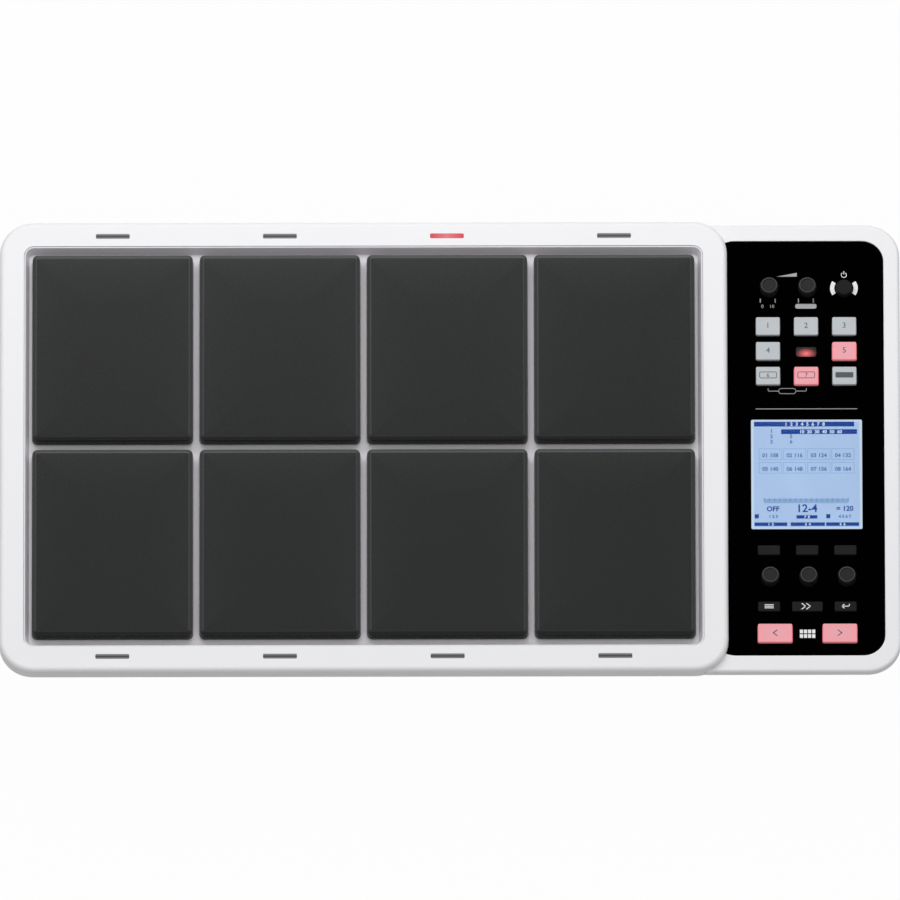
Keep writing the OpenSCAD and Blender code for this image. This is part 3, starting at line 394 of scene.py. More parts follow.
cadLooks = {
    "white": ["pad_frame", "control_case"],
    "charcoal": ["bottom_case"],
    "tray": ["pad_tray"],
    "panel": ["control_panel"],
    "lamps": ["pad_lamps"],
    "status": ["status_lamp"],
    "foam": ["pad_foams"],
    "brass": ["pad_sensors", "stand_inserts"],
    "board": ["panel_board", "main_board"],
    "switches": ["key_switches"],
    "zinc": ["rotary_bodies"],
    "nylon": ["phone_jacks", "din_sockets", "power_inlet", "lcd_module"],
    "steel": ["usb_sockets"] + [f"pad_plate_{i}" for i in range(1, 9)],
    "greyKey": [f"grid_key_{i}" for i in (1, 2, 3, 4, 6, 8)],
    "litKey": litKeys["names"],
    "darkKey": [f"soft_key_{i}" for i in (1, 2, 3)] + ["menu_key", "quick_key", "back_key", "power_button"],
}
for look, names in cadLooks.items():
    for name in names:
        mesh = nodes[name].data
        mesh.materials.clear()
        mesh.materials.append(looks[look])
print("CAD pieces dressed")


# Mesh tools: shapes are added to a bmesh, toMesh makes it a mesh and finishPiece an object

def addBar(bm, x, y, w, d, z0, z1):
    bmesh.ops.create_cube(bm, size=1, matrix=Matrix.LocRotScale(
        Vector((x, y, (z0 + z1) / 2)), None, Vector((w, d, z1 - z0))))


def addOutline(bm, points, z0, z1):
    face = bm.faces.new([bm.verts.new((p[0], p[1], z0)) for p in points])
    grown = bmesh.ops.extrude_face_region(bm, geom=[face])["geom"]
    raised = [part for part in grown if isinstance(part, bmesh.types.BMVert)]
    bmesh.ops.translate(bm, vec=(0, 0, z1 - z0), verts=raised)


def arc(x, y, r, start, end, steps):
    angles = [math.radians(start + (end - start) * i / steps) for i in range(steps + 1)]
    return [(x + r * math.cos(a), y + r * math.sin(a)) for a in angles]


def roundedRect(x, y, w, d, r, steps=6):
    points = []
    for quarter, (sx, sy) in enumerate(((1, 1), (-1, 1), (-1, -1), (1, -1))):
        points += arc(x + sx * (w / 2 - r), y + sy * (d / 2 - r), r, 90 * quarter, 90 * quarter + 90, steps)
    return points


# Band between an outer and an inner outline with the same number of points
def addBand(bm, outer, inner, z0, z1, closed=True):
    rings = [[bm.verts.new((p[0], p[1], z)) for p in line] for line, z in
             ((outer, z0), (outer, z1), (inner, z1), (inner, z0))]
    count = len(outer)
    for i in range(count if closed else count - 1):
        j = (i + 1) % count
        for a, b in zip(rings, rings[1:] + rings[:1]):
            bm.faces.new((a[i], a[j], b[j], b[i]))
    if not closed:
        for i in (0, count - 1):
            bm.faces.new([ring[i] for ring in rings])


# Outline of a rounded rectangle, drawn as a line of the given width inside its edge
def addFrame(bm, x, y, w, d, r, line, z0, z1):
    addBand(bm, roundedRect(x, y, w, d, r),
            roundedRect(x, y, w - 2 * line, d - 2 * line, r - line), z0, z1)


capShare = 0.7  # height of a capital in the built-in font, as a share of the font's size


def addText(bm, words, x, y, height, z0, z1, bold=0.0):
    curve = bpy.data.curves.new("words", "FONT")
    curve.body = words
    curve.size = height / capShare
    curve.offset = bold
    curve.align_x = "CENTER"
    curve.align_y = "CENTER"
    curve.extrude = (z1 - z0) / 2
    curve.resolution_u = 3
    holder = bpy.data.objects.new("words", curve)
    bpy.context.scene.collection.objects.link(holder)
    bpy.context.view_layer.update()
    mesh = bpy.data.meshes.new_from_object(holder.evaluated_get(bpy.context.evaluated_depsgraph_get()))
    heights = [v.co.y for v in mesh.vertices]
    middle = (min(heights) + max(heights)) / 2
    mesh.transform(Matrix.Translation((x, y - middle, (z0 + z1) / 2)))
    bm.from_mesh(mesh)
    bpy.data.objects.remove(holder)
    bpy.data.meshes.remove(mesh)


# Stroke of even width along a few points
def addStroke(bm, points, width, z0, z1):
    for (xa, ya), (xb, yb) in zip(points, points[1:]):
        run = Vector((xb - xa, yb - ya))
        turn = Matrix.Rotation(math.atan2(run.y, run.x), 4, "Z")
        size = Matrix.Diagonal((run.length + width, width, z1 - z0, 1))
        bmesh.ops.create_cube(bm, size=1, matrix=Matrix.Translation(
            ((xa + xb) / 2, (ya + yb) / 2, (z0 + z1) / 2)) @ turn @ size)


# Solid of revolution round Z from (radius, height) points that start and end on the axis, with the listed
# rings painted paler as a highlight
def addLathe(bm, profile, steps, highlightRings=()):
    edgeHighlight = bm.verts.layers.float.new("edgeHighlight")
    rings = []
    for k, (r, z) in enumerate(profile):
        if r < 1e-9:
            rings.append([bm.verts.new((0, 0, z))] * steps)
        else:
            angles = [2 * math.pi * i / steps for i in range(steps)]
            rings.append([bm.verts.new((r * math.cos(a), r * math.sin(a), z)) for a in angles])
        for v in rings[-1]:
            v[edgeHighlight] = 1.0 if k in highlightRings else 0.0
    for low, high in zip(rings, rings[1:]):
        for i in range(steps):
            j = (i + 1) % steps
            corners = []
            for v in (low[i], low[j], high[j], high[i]):
                if v not in corners:
                    corners.append(v)
            if len(corners) > 2:
                bm.faces.new(corners)


def toMesh(name, bm):
    bmesh.ops.remove_doubles(bm, verts=bm.verts, dist=1e-7)
    bmesh.ops.recalc_face_normals(bm, faces=bm.faces)
    mesh = bpy.data.meshes.new(name)
    bm.to_mesh(mesh)
    bm.free()
    return mesh


def finishPiece(name, mesh, look, body, smoothAngle=None):
    piece = bpy.data.objects.new(name, mesh)
    bpy.context.scene.collection.objects.link(piece)
    mesh.materials.clear()
    mesh.materials.append(looks[look])
    if smoothAngle:
        mesh.shade_smooth()
        mesh.set_sharp_from_angle(angle=math.radians(smoothAngle))
    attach(piece, body)
    return piece


# Geometry Nodes: a tree with named inputs is run on a seed mesh and turned into a plain mesh

def startTree(name, inputs):
    tree = bpy.data.node_groups.new(name, "GeometryNodeTree")
    tree.interface.new_socket("Geometry", in_out="INPUT", socket_type="NodeSocketGeometry")
    for label, kind in inputs.items():
        tree.interface.new_socket(label, in_out="INPUT", socket_type="NodeSocket" + kind)
    tree.interface.new_socket("Geometry", in_out="OUTPUT", socket_type="NodeSocketGeometry")
    return tree, addNode(tree, "NodeGroupInput").outputs


def endTree(tree, geometry, material):
    real = addNode(tree, "GeometryNodeRealizeInstances", {0: geometry})
    dressed = addNode(tree, "GeometryNodeSetMaterial", {"Geometry": real.outputs[0], "Material": material})
    addNode(tree, "NodeGroupOutput", {0: dressed.outputs[0]})


def runTree(name, tree, values, seed):
    holder = bpy.data.objects.new(name, seed)
    bpy.context.scene.collection.objects.link(holder)
    modifier = holder.modifiers.new("build", "NODES")
    modifier.node_group = tree
    for item in tree.interface.items_tree:
        if item.in_out == "INPUT" and item.name in values:
            modifier[item.identifier] = values[item.name]
    bpy.context.view_layer.update()
    mesh = bpy.data.meshes.new_from_object(holder.evaluated_get(bpy.context.evaluated_depsgraph_get()))
    holder.modifiers.remove(modifier)
    bpy.data.objects.remove(holder)
    return mesh


def pointMesh(name, places):
    mesh = bpy.data.meshes.new(name)
    mesh.from_pydata([tuple(p) for p in places], [], [])
    return mesh


# Rubber pads

padShape = {
    "cornerR": 3.5 * mm,
    "leastR": 0.8 * mm,       # corner of the innermost rings
    "cornerSteps": 8,
    "foot": 0.3 * mm,         # chamfer round the underside
    "draft": 0.4 * mm,
    "bevel": 1.9 * mm,        # width of the sloping edge
    "bevelH": 1.3 * mm,
    "toe": (0.4 * mm, 0.1 * mm),                    # rounding under the sloping edge, below and above
    "creaseR": 0.5 * mm,      # rounding between the sloping edge and the top
    "creaseDrop": (0.42 * mm, 0.14 * mm, 0.02 * mm, -0.01 * mm),    # its rings, down from the top
    "crown": 0.2 * mm,
    "crownInset": (4.5 * mm, 14 * mm, 30 * mm),     # rings of the crown, in from the pad's outline
    "crownShare": (0.12, 0.5, 0.88),                # how much of the crown's rise each of them has
    "paintedHighlight": 0.45,             # how strongly the edges are painted paler as a highlight
    "rearHighlight": 0.8,          # more of that painted highlight on the rear edges, which face the rear light, less on the front ones
    "paintedSheen": 0.06,            # painted sheen: a paler cast at the rear edge, half of it at the sides, none at the front
}


# Moulded rubber slab: drafted sides, a sloping edge, a rounded crease and a top that rises to its middle
def padMesh(name, low, high):
    bm = bmesh.new()
    w, d = high.x - low.x, high.y - low.y
    x, y = (low.x + high.x) / 2, (low.y + high.y) / 2
    foot, draft, bevel, crown = padShape["foot"], padShape["draft"], padShape["bevel"], padShape["crown"]
    creaseR, drop, steps = padShape["creaseR"], padShape["creaseDrop"], padShape["cornerSteps"]
    toeLow, toeHigh = padShape["toe"]
    inset, share = padShape["crownInset"], padShape["crownShare"]
    top = high.z - crown
    shoulder = top - padShape["bevelH"]
    edge = draft + bevel
    # each level: inset from the pad's outline, height, share of the painted edge highlight, share of the
    # painted sheen
    levels = [(foot, low.z, 0, 0),
              (0, low.z + foot, 0, 0),
              (draft * 0.8, shoulder - toeLow, 0.3, 0),
              (draft * 1.2, shoulder + toeHigh, 0.9, 0),
              (edge - creaseR, top - drop[0], 0.7, 0),
              (edge - creaseR * 0.4, top - drop[1], 1, 0),
              (edge + creaseR * 0.4, top - drop[2], 1, 0),
              (edge + creaseR * 1.6, top - drop[3], 0, 1),
              (inset[0], top + crown * share[0], 0, 1),
              (inset[1], top + crown * share[1], 0, 0.5),
              (inset[2], top + crown * share[2], 0, 0)]
    edgeHighlight = bm.verts.layers.float.new("edgeHighlight")
    rings = []
    for inwards, z, highlightShare, paintedSheen in levels:
        r = max(padShape["cornerR"] - inwards, padShape["leastR"])
        outline = roundedRect(x, y, w - 2 * inwards, d - 2 * inwards, r, steps)
        ring = [bm.verts.new((p[0], p[1], z)) for p in outline]
        for i, v in enumerate(ring):
            quarter, step = divmod(i, steps + 1)
            facing = math.sin(math.pi / 2 * (quarter + step / steps))  # 1 to the rear, -1 to the front
            # painted highlight on the edges, stronger where they face the rear light, plus a painted sheen
            # near the rear edge
            v[edgeHighlight] = (highlightShare * padShape["paintedHighlight"] * (1 + padShape["rearHighlight"] * facing)
                         + paintedSheen * padShape["paintedSheen"] * (1 + facing) / 2)
        rings.append(ring)
    for a, b in zip(rings, rings[1:]):
        for i in range(len(a)):
            j = (i + 1) % len(a)
            bm.faces.new((a[i], a[j], b[j], b[i]))
    bm.faces.new(rings[0])
    bm.faces.new(rings[-1])
    return toMesh(name, bm)


for i in range(1, 9):
    low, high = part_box(f"pad_{i}")
    mesh = padMesh(f"strikingPad{i}", low, high)
    piece = finishPiece(f"strikingPad{i}", mesh, "rubber", f"pad_{i}", smoothAngle=40)
    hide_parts(f"pad_{i}")
print("rubber pads made")


# Knobs

knobShape = {
    "shaftR": 3 * mm,
    "lift": 0.6 * mm,         # air between the panel and the skirt
    "chamfer": 0.3 * mm,      # round the foot of the skirt
    "taper": 0.25 * mm,
    "edgeW": 0.9 * mm,        # rounding of the top edge, across and down
    "edgeH": 1.0 * mm,
    "edgeSteps": 6,
    "rim": 1.6 * mm,          # from the skirt to the dish
    "rimDrop": 0.02 * mm,     # fall of the top towards the dish
    "dishSlope": 0.3 * mm,
    "dish": 0.25 * mm,
    "sides": 60,
    "ribs": 30,
    "ribR": 0.32 * mm,
    "ribSides": 8,
    "ribFoot": 0.3 * mm,      # from the foot of the skirt up to the ribs
    "ribHead": 1.3 * mm,      # from the top down to the ribs
}


# Ribs set round a knob's skirt, joined to the knob that comes in
def knobTree():
    tree, given = startTree("knobGrip", {
        "Ribs": "Int", "Rib radius": "Float", "Rib height": "Float", "Radius": "Float", "Middle": "Float",
        "Material": "Material"})
    ring = addNode(tree, "GeometryNodeMeshCircle", {"Vertices": given["Ribs"], "Radius": given["Radius"]})
    rib = addNode(tree, "GeometryNodeMeshCylinder", {
        "Vertices": knobShape["ribSides"], "Radius": given["Rib radius"], "Depth": given["Rib height"]})
    ribs = addNode(tree, "GeometryNodeInstanceOnPoints", {
        "Points": ring.outputs[0], "Instance": rib.outputs[0]})
    lift = addNode(tree, "ShaderNodeCombineXYZ", {"Z": given["Middle"]})
    raised = addNode(tree, "GeometryNodeTransform", {
        "Geometry": ribs.outputs[0], "Translation": lift.outputs[0]})
    both = addNode(tree, "GeometryNodeJoinGeometry")
    tree.links.new(given["Geometry"], both.inputs[0])
    tree.links.new(raised.outputs[0], both.inputs[0])
    endTree(tree, both.outputs[0], given["Material"])
    return tree


# Knob with a tapered skirt, a rounded top edge carrying a painted highlight ring and a shallow dish, round
# the Z axis
def knobMesh(name, outer, bottom, foot, top):
    r = outer - knobShape["ribR"] * 0.5
    shaftR, chamfer = knobShape["shaftR"], knobShape["chamfer"]
    neck = r - knobShape["taper"]
    edgeW, edgeH, edgeSteps = knobShape["edgeW"], knobShape["edgeH"], knobShape["edgeSteps"]
    dishR = r - knobShape["rim"]
    dishZ = top - knobShape["dish"]
    profile = [(0, bottom), (shaftR, bottom), (shaftR, foot), (r - chamfer, foot), (r, foot + chamfer),
               (neck, top - edgeH)]
    for k in range(1, edgeSteps + 1):
        a = math.pi / 2 * k / edgeSteps
        profile.append((neck - edgeW * (1 - math.cos(a)), top - edgeH * (1 - math.sin(a))))
    edgeEnd = len(profile) - 1  # the last ring of the rounding
    profile += [(dishR, top - knobShape["rimDrop"]), (dishR - knobShape["dishSlope"], dishZ), (0, dishZ)]
    bm = bmesh.new()
    # two rings near the end of the top edge's rounding carry the painted highlight
    addLathe(bm, profile, knobShape["sides"], (edgeEnd - 2, edgeEnd - 1))
    return toMesh(name, bm)


grip = knobTree()
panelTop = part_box("control_panel")[1].z
for name in ["volume_knob_phones", "volume_knob_output"] + [f"encoder_knob_{i}" for i in (1, 2, 3)]:
    low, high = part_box(name)
    x, y, top = middleOf(name)
    outer = (high.x - low.x) / 2
    foot = panelTop + knobShape["lift"]
    ribLow, ribHigh = foot + knobShape["ribFoot"], top - knobShape["ribHead"]
    mesh = runTree(name + "Cap", grip, {
        "Ribs": knobShape["ribs"], "Rib radius": knobShape["ribR"], "Rib height": ribHigh - ribLow,
        "Radius": outer - knobShape["ribR"], "Middle": (ribLow + ribHigh) / 2, "Material": looks["knob"]},
        knobMesh(name, outer, low.z, foot, top))
    mesh.transform(Matrix.Translation((x, y, 0)))
    piece = finishPiece(name + "Cap", mesh, "knob", name, smoothAngle=35)
    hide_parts(name)
print("knobs made")


# Display

display = {
    "gap": 0.25 * mm,         # air under the window
    "layer": 0.06 * mm,       # thickness of each drawn layer
    "edgeShare": 0.5,         # how much of a layer the glowing edge takes
    "meterShare": 0.6,        # the same for the meter's bar
    "cutOutShare": 0.6,       # and for the pale digits over the bars
    "cornerR": 0.9 * mm,
    "bevel": 0.25 * mm,       # round the window's top
    "play": 0.05 * mm,        # between the glowing edge and the panel
    "border": 1.5 * mm,
    "fieldR": 0.5 * mm,
    "columns": 4,
    "rows": 2,
    "cell": (13.2 * mm, 6.8 * mm),
    "pitch": (14.3 * mm, 8.6 * mm),
    "gridY": 8.6 * mm,        # middle of the grid above the display's middle
    "line": 0.45 * mm,
    "bold": 0.12 * mm,        # added round each stroke of the digits
    "cellDigits": 2.4 * mm,
    "cellDrop": 0.7 * mm,     # from a cell's middle down to its digits
    "tick": (0.3 * mm, 2.4 * mm),
    "tickRise": 0.8 * mm,     # from the meter's middle up to its ticks
    "ticks": 17,
}

# What the display shows, in mm from its middle: bars as x, y, width, depth and words as text, x, y, height
displayMarks = {
    "bars": [(-1.4, 31.9, 59.2, 3.0), (7.4, 27.1, 44.8, 3.0),
             (-21.3, -31.3, 19.3, 2.2), (0.5, -31.3, 20.2, 2.2), (21.0, -31.3, 19.4, 2.2),
             (-29.6, -26.3, 2.4, 2.6), (0, -26.7, 12.3, 2.1), (12.6, -26.3, 2.4, 2.6)],
    "darkWords": [("OFF", -20, -21.6, 3.0), ("12-4", 0, -21.2, 4.8), ("= 120", 22.4, -21.4, 3.0)],
    "cutOuts": [("1  2  3  4  5  6  7  8", -1, 31.9, 2.1), ("10  20  30  40  50  60", 8.4, 27.1, 2.0),
                ("1  2", -21.3, -31.3, 1.5), ("3  4", 0.5, -31.3, 1.5), ("5  6", 21.0, -31.3, 1.5),
                ("7  8", 0, -26.7, 1.4)],
    "fineWords": [("1", -20.7, 27.6, 2.2), ("2", -20.7, 24.2, 2.2), ("3", -20.7, 20.8, 2.2),
                  ("5", -9.1, 24.2, 2.2), ("6", -9.1, 20.8, 2.2),
                  ("1 2 3", -19.8, -26.4, 1.8), ("4 5 6 7", 22.4, -26.4, 1.8)],
    "meter": (-0.4, -16.6, 49.8, 2.8),
}


# Net of outlined cells
def cellTree():
    tree, given = startTree("displayCells", {
        "Columns": "Int", "Rows": "Int", "Size X": "Float", "Size Y": "Float", "Cell width": "Float",
        "Cell depth": "Float", "Line": "Float", "Layer": "Float", "Material": "Material"})
    net = addNode(tree, "GeometryNodeMeshGrid", {
        "Size X": given["Size X"], "Size Y": given["Size Y"], "Vertices X": given["Columns"],
        "Vertices Y": given["Rows"]})
    outline = addNode(tree, "GeometryNodeCurvePrimitiveQuadrilateral", {
        "Width": given["Cell width"], "Height": given["Cell depth"]})
    section = addNode(tree, "GeometryNodeCurvePrimitiveQuadrilateral", {
        "Width": given["Line"], "Height": given["Layer"]})
    cell = addNode(tree, "GeometryNodeCurveToMesh", {
        "Curve": outline.outputs[0], "Profile Curve": section.outputs[0]})
    cells = addNode(tree, "GeometryNodeInstanceOnPoints", {
        "Points": net.outputs[0], "Instance": cell.outputs[0]})
    endTree(tree, cells.outputs[0], given["Material"])
    return tree


# Row of short bars
def tickTree():
    tree, given = startTree("tickRow", {
        "Count": "Int", "Step": "Float", "Width": "Float", "Length": "Float", "Layer": "Float",
        "Material": "Material"})
    step = addNode(tree, "ShaderNodeCombineXYZ", {"X": given["Step"]})
    row = addNode(tree, "GeometryNodeMeshLine", {"Count": given["Count"], "Offset": step.outputs[0]})
    size = addNode(tree, "ShaderNodeCombineXYZ", {
        "X": given["Width"], "Y": given["Length"], "Z": given["Layer"]})
    tick = addNode(tree, "GeometryNodeMeshCube", {"Size": size.outputs[0]})
    ticks = addNode(tree, "GeometryNodeInstanceOnPoints", {
        "Points": row.outputs[0], "Instance": tick.outputs[0]})
    endTree(tree, ticks.outputs[0], given["Material"])
    return tree


def finishLayer(name, mesh, look):
    return finishPiece(name, mesh, look, "case")


def makeWindow(low, high):
    x, y, top = middleOf("lcd_window")
    bm = bmesh.new()
    addOutline(bm, roundedRect(x, y, high.x - low.x, high.y - low.y, display["cornerR"]),
               low.z + display["gap"], top)
    rim = [e for e in bm.edges if all(v.co.z > top - 1e-6 for v in e.verts)]
    bmesh.ops.bevel(bm, geom=rim, offset=display["bevel"], segments=3, affect="EDGES", profile=0.5)
    window = finishPiece("displayWindow", toMesh("displayWindow", bm), "window", "case")
    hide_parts("lcd_window")


# Pale edge and blue field under everything that is drawn
def makeField(low, high):
    x, y, _ = middleOf("lcd_window")
    w, d = high.x - low.x, high.y - low.y
    middle, top = low.z + display["layer"] * display["edgeShare"], low.z + display["layer"]
    play, border = display["play"], display["border"]
    bm = bmesh.new()
    addOutline(bm, roundedRect(x, y, w - 2 * play, d - 2 * play, display["cornerR"]), low.z, middle)
    finishLayer("displayEdge", toMesh("displayEdge", bm), "displayBorder")
    bm = bmesh.new()
    addOutline(bm, roundedRect(x, y, w - 2 * border, d - 2 * border, display["fieldR"]), middle, top)
    finishLayer("displayField", toMesh("displayField", bm), "displayField")


# Dark bars and words, with pale digits over the bars
def makeDisplayBars(x, y, z0, z1, z2):
    dark, pale = bmesh.new(), bmesh.new()
    for bx, by, w, d in displayMarks["bars"]:
        addBar(dark, x + bx * mm, y + by * mm, w * mm, d * mm, z0, z1)
    for words, tx, ty, height in displayMarks["darkWords"]:
        addText(dark, words, x + tx * mm, y + ty * mm, height * mm, z0, z1, display["bold"])
    for words, tx, ty, height in displayMarks["cutOuts"]:
        addText(pale, words, x + tx * mm, y + ty * mm, height * mm, z1, z2, display["bold"])
    finishLayer("displayBars", toMesh("displayBars", dark), "displayDark")
    finishLayer("displayCutOuts", toMesh("displayCutOuts", pale), "displayBorder")


# Outlined cells with a pair of numbers in each, and the small digits round them
def makeDisplayCells(x, y, z0, z1):
    columns, rows = display["columns"], display["rows"]
    pitchX, pitchY = display["pitch"]
    fine = bmesh.new()
    for row in range(rows):
        for column in range(columns):
            count = row * columns + column + 1
            addText(fine, f"{count:02d} {count * 8 + 100}", x + (column - (columns - 1) / 2) * pitchX,
                    y + display["gridY"] + ((rows - 1) / 2 - row) * pitchY - display["cellDrop"],
                    display["cellDigits"], z0, z1, display["bold"])
    for words, tx, ty, height in displayMarks["fineWords"]:
        addText(fine, words, x + tx * mm, y + ty * mm, height * mm, z0, z1, display["bold"])
    finishLayer("displayMarks", toMesh("displayMarks", fine), "displayMid")
    cellW, cellD = display["cell"]
    mesh = runTree("displayCells", cellTree(), {
        "Columns": columns, "Rows": rows, "Size X": pitchX * (columns - 1), "Size Y": pitchY * (rows - 1),
        "Cell width": cellW, "Cell depth": cellD, "Line": display["line"], "Layer": display["layer"],
        "Material": looks["displaySoft"]}, pointMesh("cells", [(0, 0, 0)]))
    mesh.transform(Matrix.Translation((x, y + display["gridY"], (z0 + z1) / 2)))
    finishLayer("displayCells", mesh, "displaySoft")


# Soft meter bar with a row of ticks over it
def makeMeter(x, y, z0, z1):
    bx, by, w, d = [value * mm for value in displayMarks["meter"]]
    soft = bmesh.new()
    addBar(soft, x + bx, y + by, w, d, z0, z0 + display["layer"] * display["meterShare"])
    finishLayer("displayMeter", toMesh("displayMeter", soft), "displaySoft")
    tickW, tickL = display["tick"]
    mesh = runTree("displayScale", tickTree(), {
        "Count": display["ticks"], "Step": w / (display["ticks"] - 1), "Width": tickW, "Length": tickL,
        "Layer": display["layer"], "Material": looks["displayMid"]}, pointMesh("scale", [(0, 0, 0)]))
    mesh.transform(Matrix.Translation((x + bx - w / 2, y + by + display["tickRise"], (z0 + z1) / 2)))
    finishLayer("displayScale", mesh, "displayMid")


def makeDisplay():
    low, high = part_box("lcd_window")
    x, y, _ = middleOf("lcd_window")
    layer = display["layer"]
    z0, z1 = low.z + layer, low.z + 2 * layer
    z2 = z1 + layer * display["cutOutShare"]
    makeWindow(low, high)
    makeField(low, high)
    makeDisplayBars(x, y, z0, z1, z2)
    makeDisplayCells(x, y, z0, z1)
    makeMeter(x, y, z0, z1)


makeDisplay()
print("display made")


# Print on the panel

inkThickness = 0.04 * mm

volumePrint = {
    "endMark": (0.6 * mm, 2.6 * mm),
    "endMarkX": 4.4 * mm,     # to each side of the column
    "endMarkDrop": 7.0 * mm,  # in front of the knobs
    "scale": "0    10",
    "scaleH": 2.1 * mm,
    "scaleDrop": 10.6 * mm,
    "pill": (12.6 * mm, 3.0 * mm, 1.2 * mm),
    "wedge": (12.0 * mm, 2.4 * mm),
    "wedgeRise": 8.2 * mm,    # behind the knobs
}


# End marks in front of both knobs, with numbers or a plain bar under them, and a rising wedge behind, all
# in line with the key columns
def drawVolumePrint(bm, z0, z1):
    knobY = middleOf("volume_knob_phones")[1]
    firstX, secondX = middleOf("grid_key_1")[0], middleOf("grid_key_2")[0]
    markW, markD = volumePrint["endMark"]
    markY = knobY - volumePrint["endMarkDrop"]
    for columnX in (firstX, secondX):
        for side in (-1, 1):
            addBar(bm, columnX + side * volumePrint["endMarkX"], markY, markW, markD, z0, z1)
    scaleY = knobY - volumePrint["scaleDrop"]
    addText(bm, volumePrint["scale"], firstX, scaleY, volumePrint["scaleH"], z0, z1)
    addOutline(bm, roundedRect(secondX, scaleY, *volumePrint["pill"]), z0, z1)
    wedgeX = (firstX + secondX) / 2
    wedgeW, wedgeH = volumePrint["wedge"]
    wedgeY = knobY + volumePrint["wedgeRise"]
    addOutline(bm, [(wedgeX - wedgeW / 2, wedgeY), (wedgeX + wedgeW / 2, wedgeY),
                    (wedgeX + wedgeW / 2, wedgeY + wedgeH)], z0, z1)


powerPrint = {
    "bracketR": (8.2 * mm, 5.7 * mm),     # outside and inside
    "bracketSpan": 66,                    # degrees
    "bracketSteps": 12,
    "bracketRise": 0.8 * mm,
    "symbolR": (1.75 * mm, 1.35 * mm),
    "symbolRise": 9.2 * mm,
    "symbolGap": 70,                      # degrees left open for the bar
    "symbolSteps": 24,
    "bar": (0.45 * mm, 2.0 * mm),
    "barRise": 10.6 * mm,
}


# Open ring between two radii, from a start angle to an end angle
def addRing(bm, x, y, radii, start, end, steps, z0, z1):
    outer, inner = [arc(x, y, r, start, end, steps) for r in radii]
    addBand(bm, outer, inner, z0, z1, closed=False)


# Bracket arcs beside the power button, and the standby symbol behind it
def drawPowerPrint(bm, z0, z1):
    x, y, _ = middleOf("power_button")
    half = powerPrint["bracketSpan"] / 2
    ringY = y + powerPrint["bracketRise"]
    for side in (0, 180):
        addRing(bm, x, ringY, powerPrint["bracketR"], side - half, side + half,
                powerPrint["bracketSteps"], z0, z1)
    gap = powerPrint["symbolGap"] / 2
    addRing(bm, x, y + powerPrint["symbolRise"], powerPrint["symbolR"], 90 + gap, 450 - gap,
            powerPrint["symbolSteps"], z0, z1)
    barW, barD = powerPrint["bar"]
    addBar(bm, x, y + powerPrint["barRise"], barW, barD, z0, z1)


linkPrint = {
    "line": 0.35 * mm,
    "start": 0.7 * mm,        # in front of the keys
    "drop": 2.3 * mm,
    "pill": (10.4 * mm, 3.6 * mm, 1.75 * mm),
    "pillLine": 0.3 * mm,
}


# Line that joins the first two keys of the last grid row, with a pill in its middle
def drawLinkPrint(bm, z0, z1):
    leftX, rightX = middleOf("grid_key_6")[0], middleOf("grid_key_7")[0]
    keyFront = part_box("grid_key_6")[0].y
    lineY = keyFront - linkPrint["drop"]
    pillX = (leftX + rightX) / 2
    pillW, pillD, pillR = linkPrint["pill"]
    for keyX, side in ((leftX, -1), (rightX, 1)):
        route = [(keyX, keyFront - linkPrint["start"]), (keyX, lineY), (pillX + side * pillW / 2, lineY)]
        addStroke(bm, route, linkPrint["line"], z0, z1)
    addFrame(bm, pillX, lineY, pillW, pillD, pillR, linkPrint["pillLine"], z0, z1)


kitPrint = {"columns": 4, "rows": 2, "square": (1.9 * mm, 2.3 * mm), "pitch": (2.4 * mm, 2.9 * mm)}


# Small picture of the eight pads between the two kit keys
def drawKitPrint(bm, z0, z1):
    x = (middleOf("kit_key_down")[0] + middleOf("kit_key_up")[0]) / 2
    y = middleOf("kit_key_down")[1]
    squareW, squareD = kitPrint["square"]
    pitchX, pitchY = kitPrint["pitch"]
    for column in range(kitPrint["columns"]):
        for row in range(kitPrint["rows"]):
            addBar(bm, x + (column - (kitPrint["columns"] - 1) / 2) * pitchX,
                   y + (row - (kitPrint["rows"] - 1) / 2) * pitchY, squareW, squareD, z0, z1)


rulePrint = {"rise": 6.4 * mm, "size": (60 * mm, 0.4 * mm)}


# Fine rule behind the display
def drawRulePrint(bm, z0, z1):
    ruleW, ruleD = rulePrint["size"]
    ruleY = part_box("lcd_window")[1].y + rulePrint["rise"]
    addBar(bm, middleOf("grid_key_2")[0], ruleY, ruleW, ruleD, z0, z1)


def makePanelPrint():
    z0, z1 = panelTop, panelTop + inkThickness
    white, grey = bmesh.new(), bmesh.new()
    drawVolumePrint(grey, z0, z1)
    drawLinkPrint(grey, z0, z1)
    drawRulePrint(grey, z0, z1)
    drawPowerPrint(white, z0, z1)
    drawKitPrint(white, z0, z1)
    finishPiece("panelPrintWhite", toMesh("panelPrintWhite", white), "printWhite", "case")
    finishPiece("panelPrintGrey", toMesh("panelPrintGrey", grey), "printGrey", "case")


makePanelPrint()
print("panel print made")


# Print on the keys

keyMarks = {
    "rise": 0.4 * mm,                         # marks of the grid keys lie a little behind the middle
    "digit": 3.4 * mm,
    "framedDigit": 2.6 * mm,
    "frame": (10.4 * mm, 4.2 * mm, 1.0 * mm),
    "frameLine": 0.4 * mm,
    "filled": (10.6 * mm, 3.4 * mm, 0.5 * mm),
    "chevron": (1.1 * mm, 1.7 * mm),          # half its width and half its depth
    "chevronLine": 0.55 * mm,
    "forward": (-2.1 * mm, 0.7 * mm),         # places of the two chevrons
    "lines": (5.4 * mm, 0.5 * mm),
    "lineStep": 1.0 * mm,
    "return": (2.2 * mm, 1.2 * mm),           # half the arrow's length, and its rise
    "returnTip": 1.3 * mm,
    "returnLine": 0.5 * mm,
}


def drawNumber(bm, x, y, z0, z1, words):
    addText(bm, words, x, y + keyMarks["rise"], keyMarks["digit"], z0, z1)


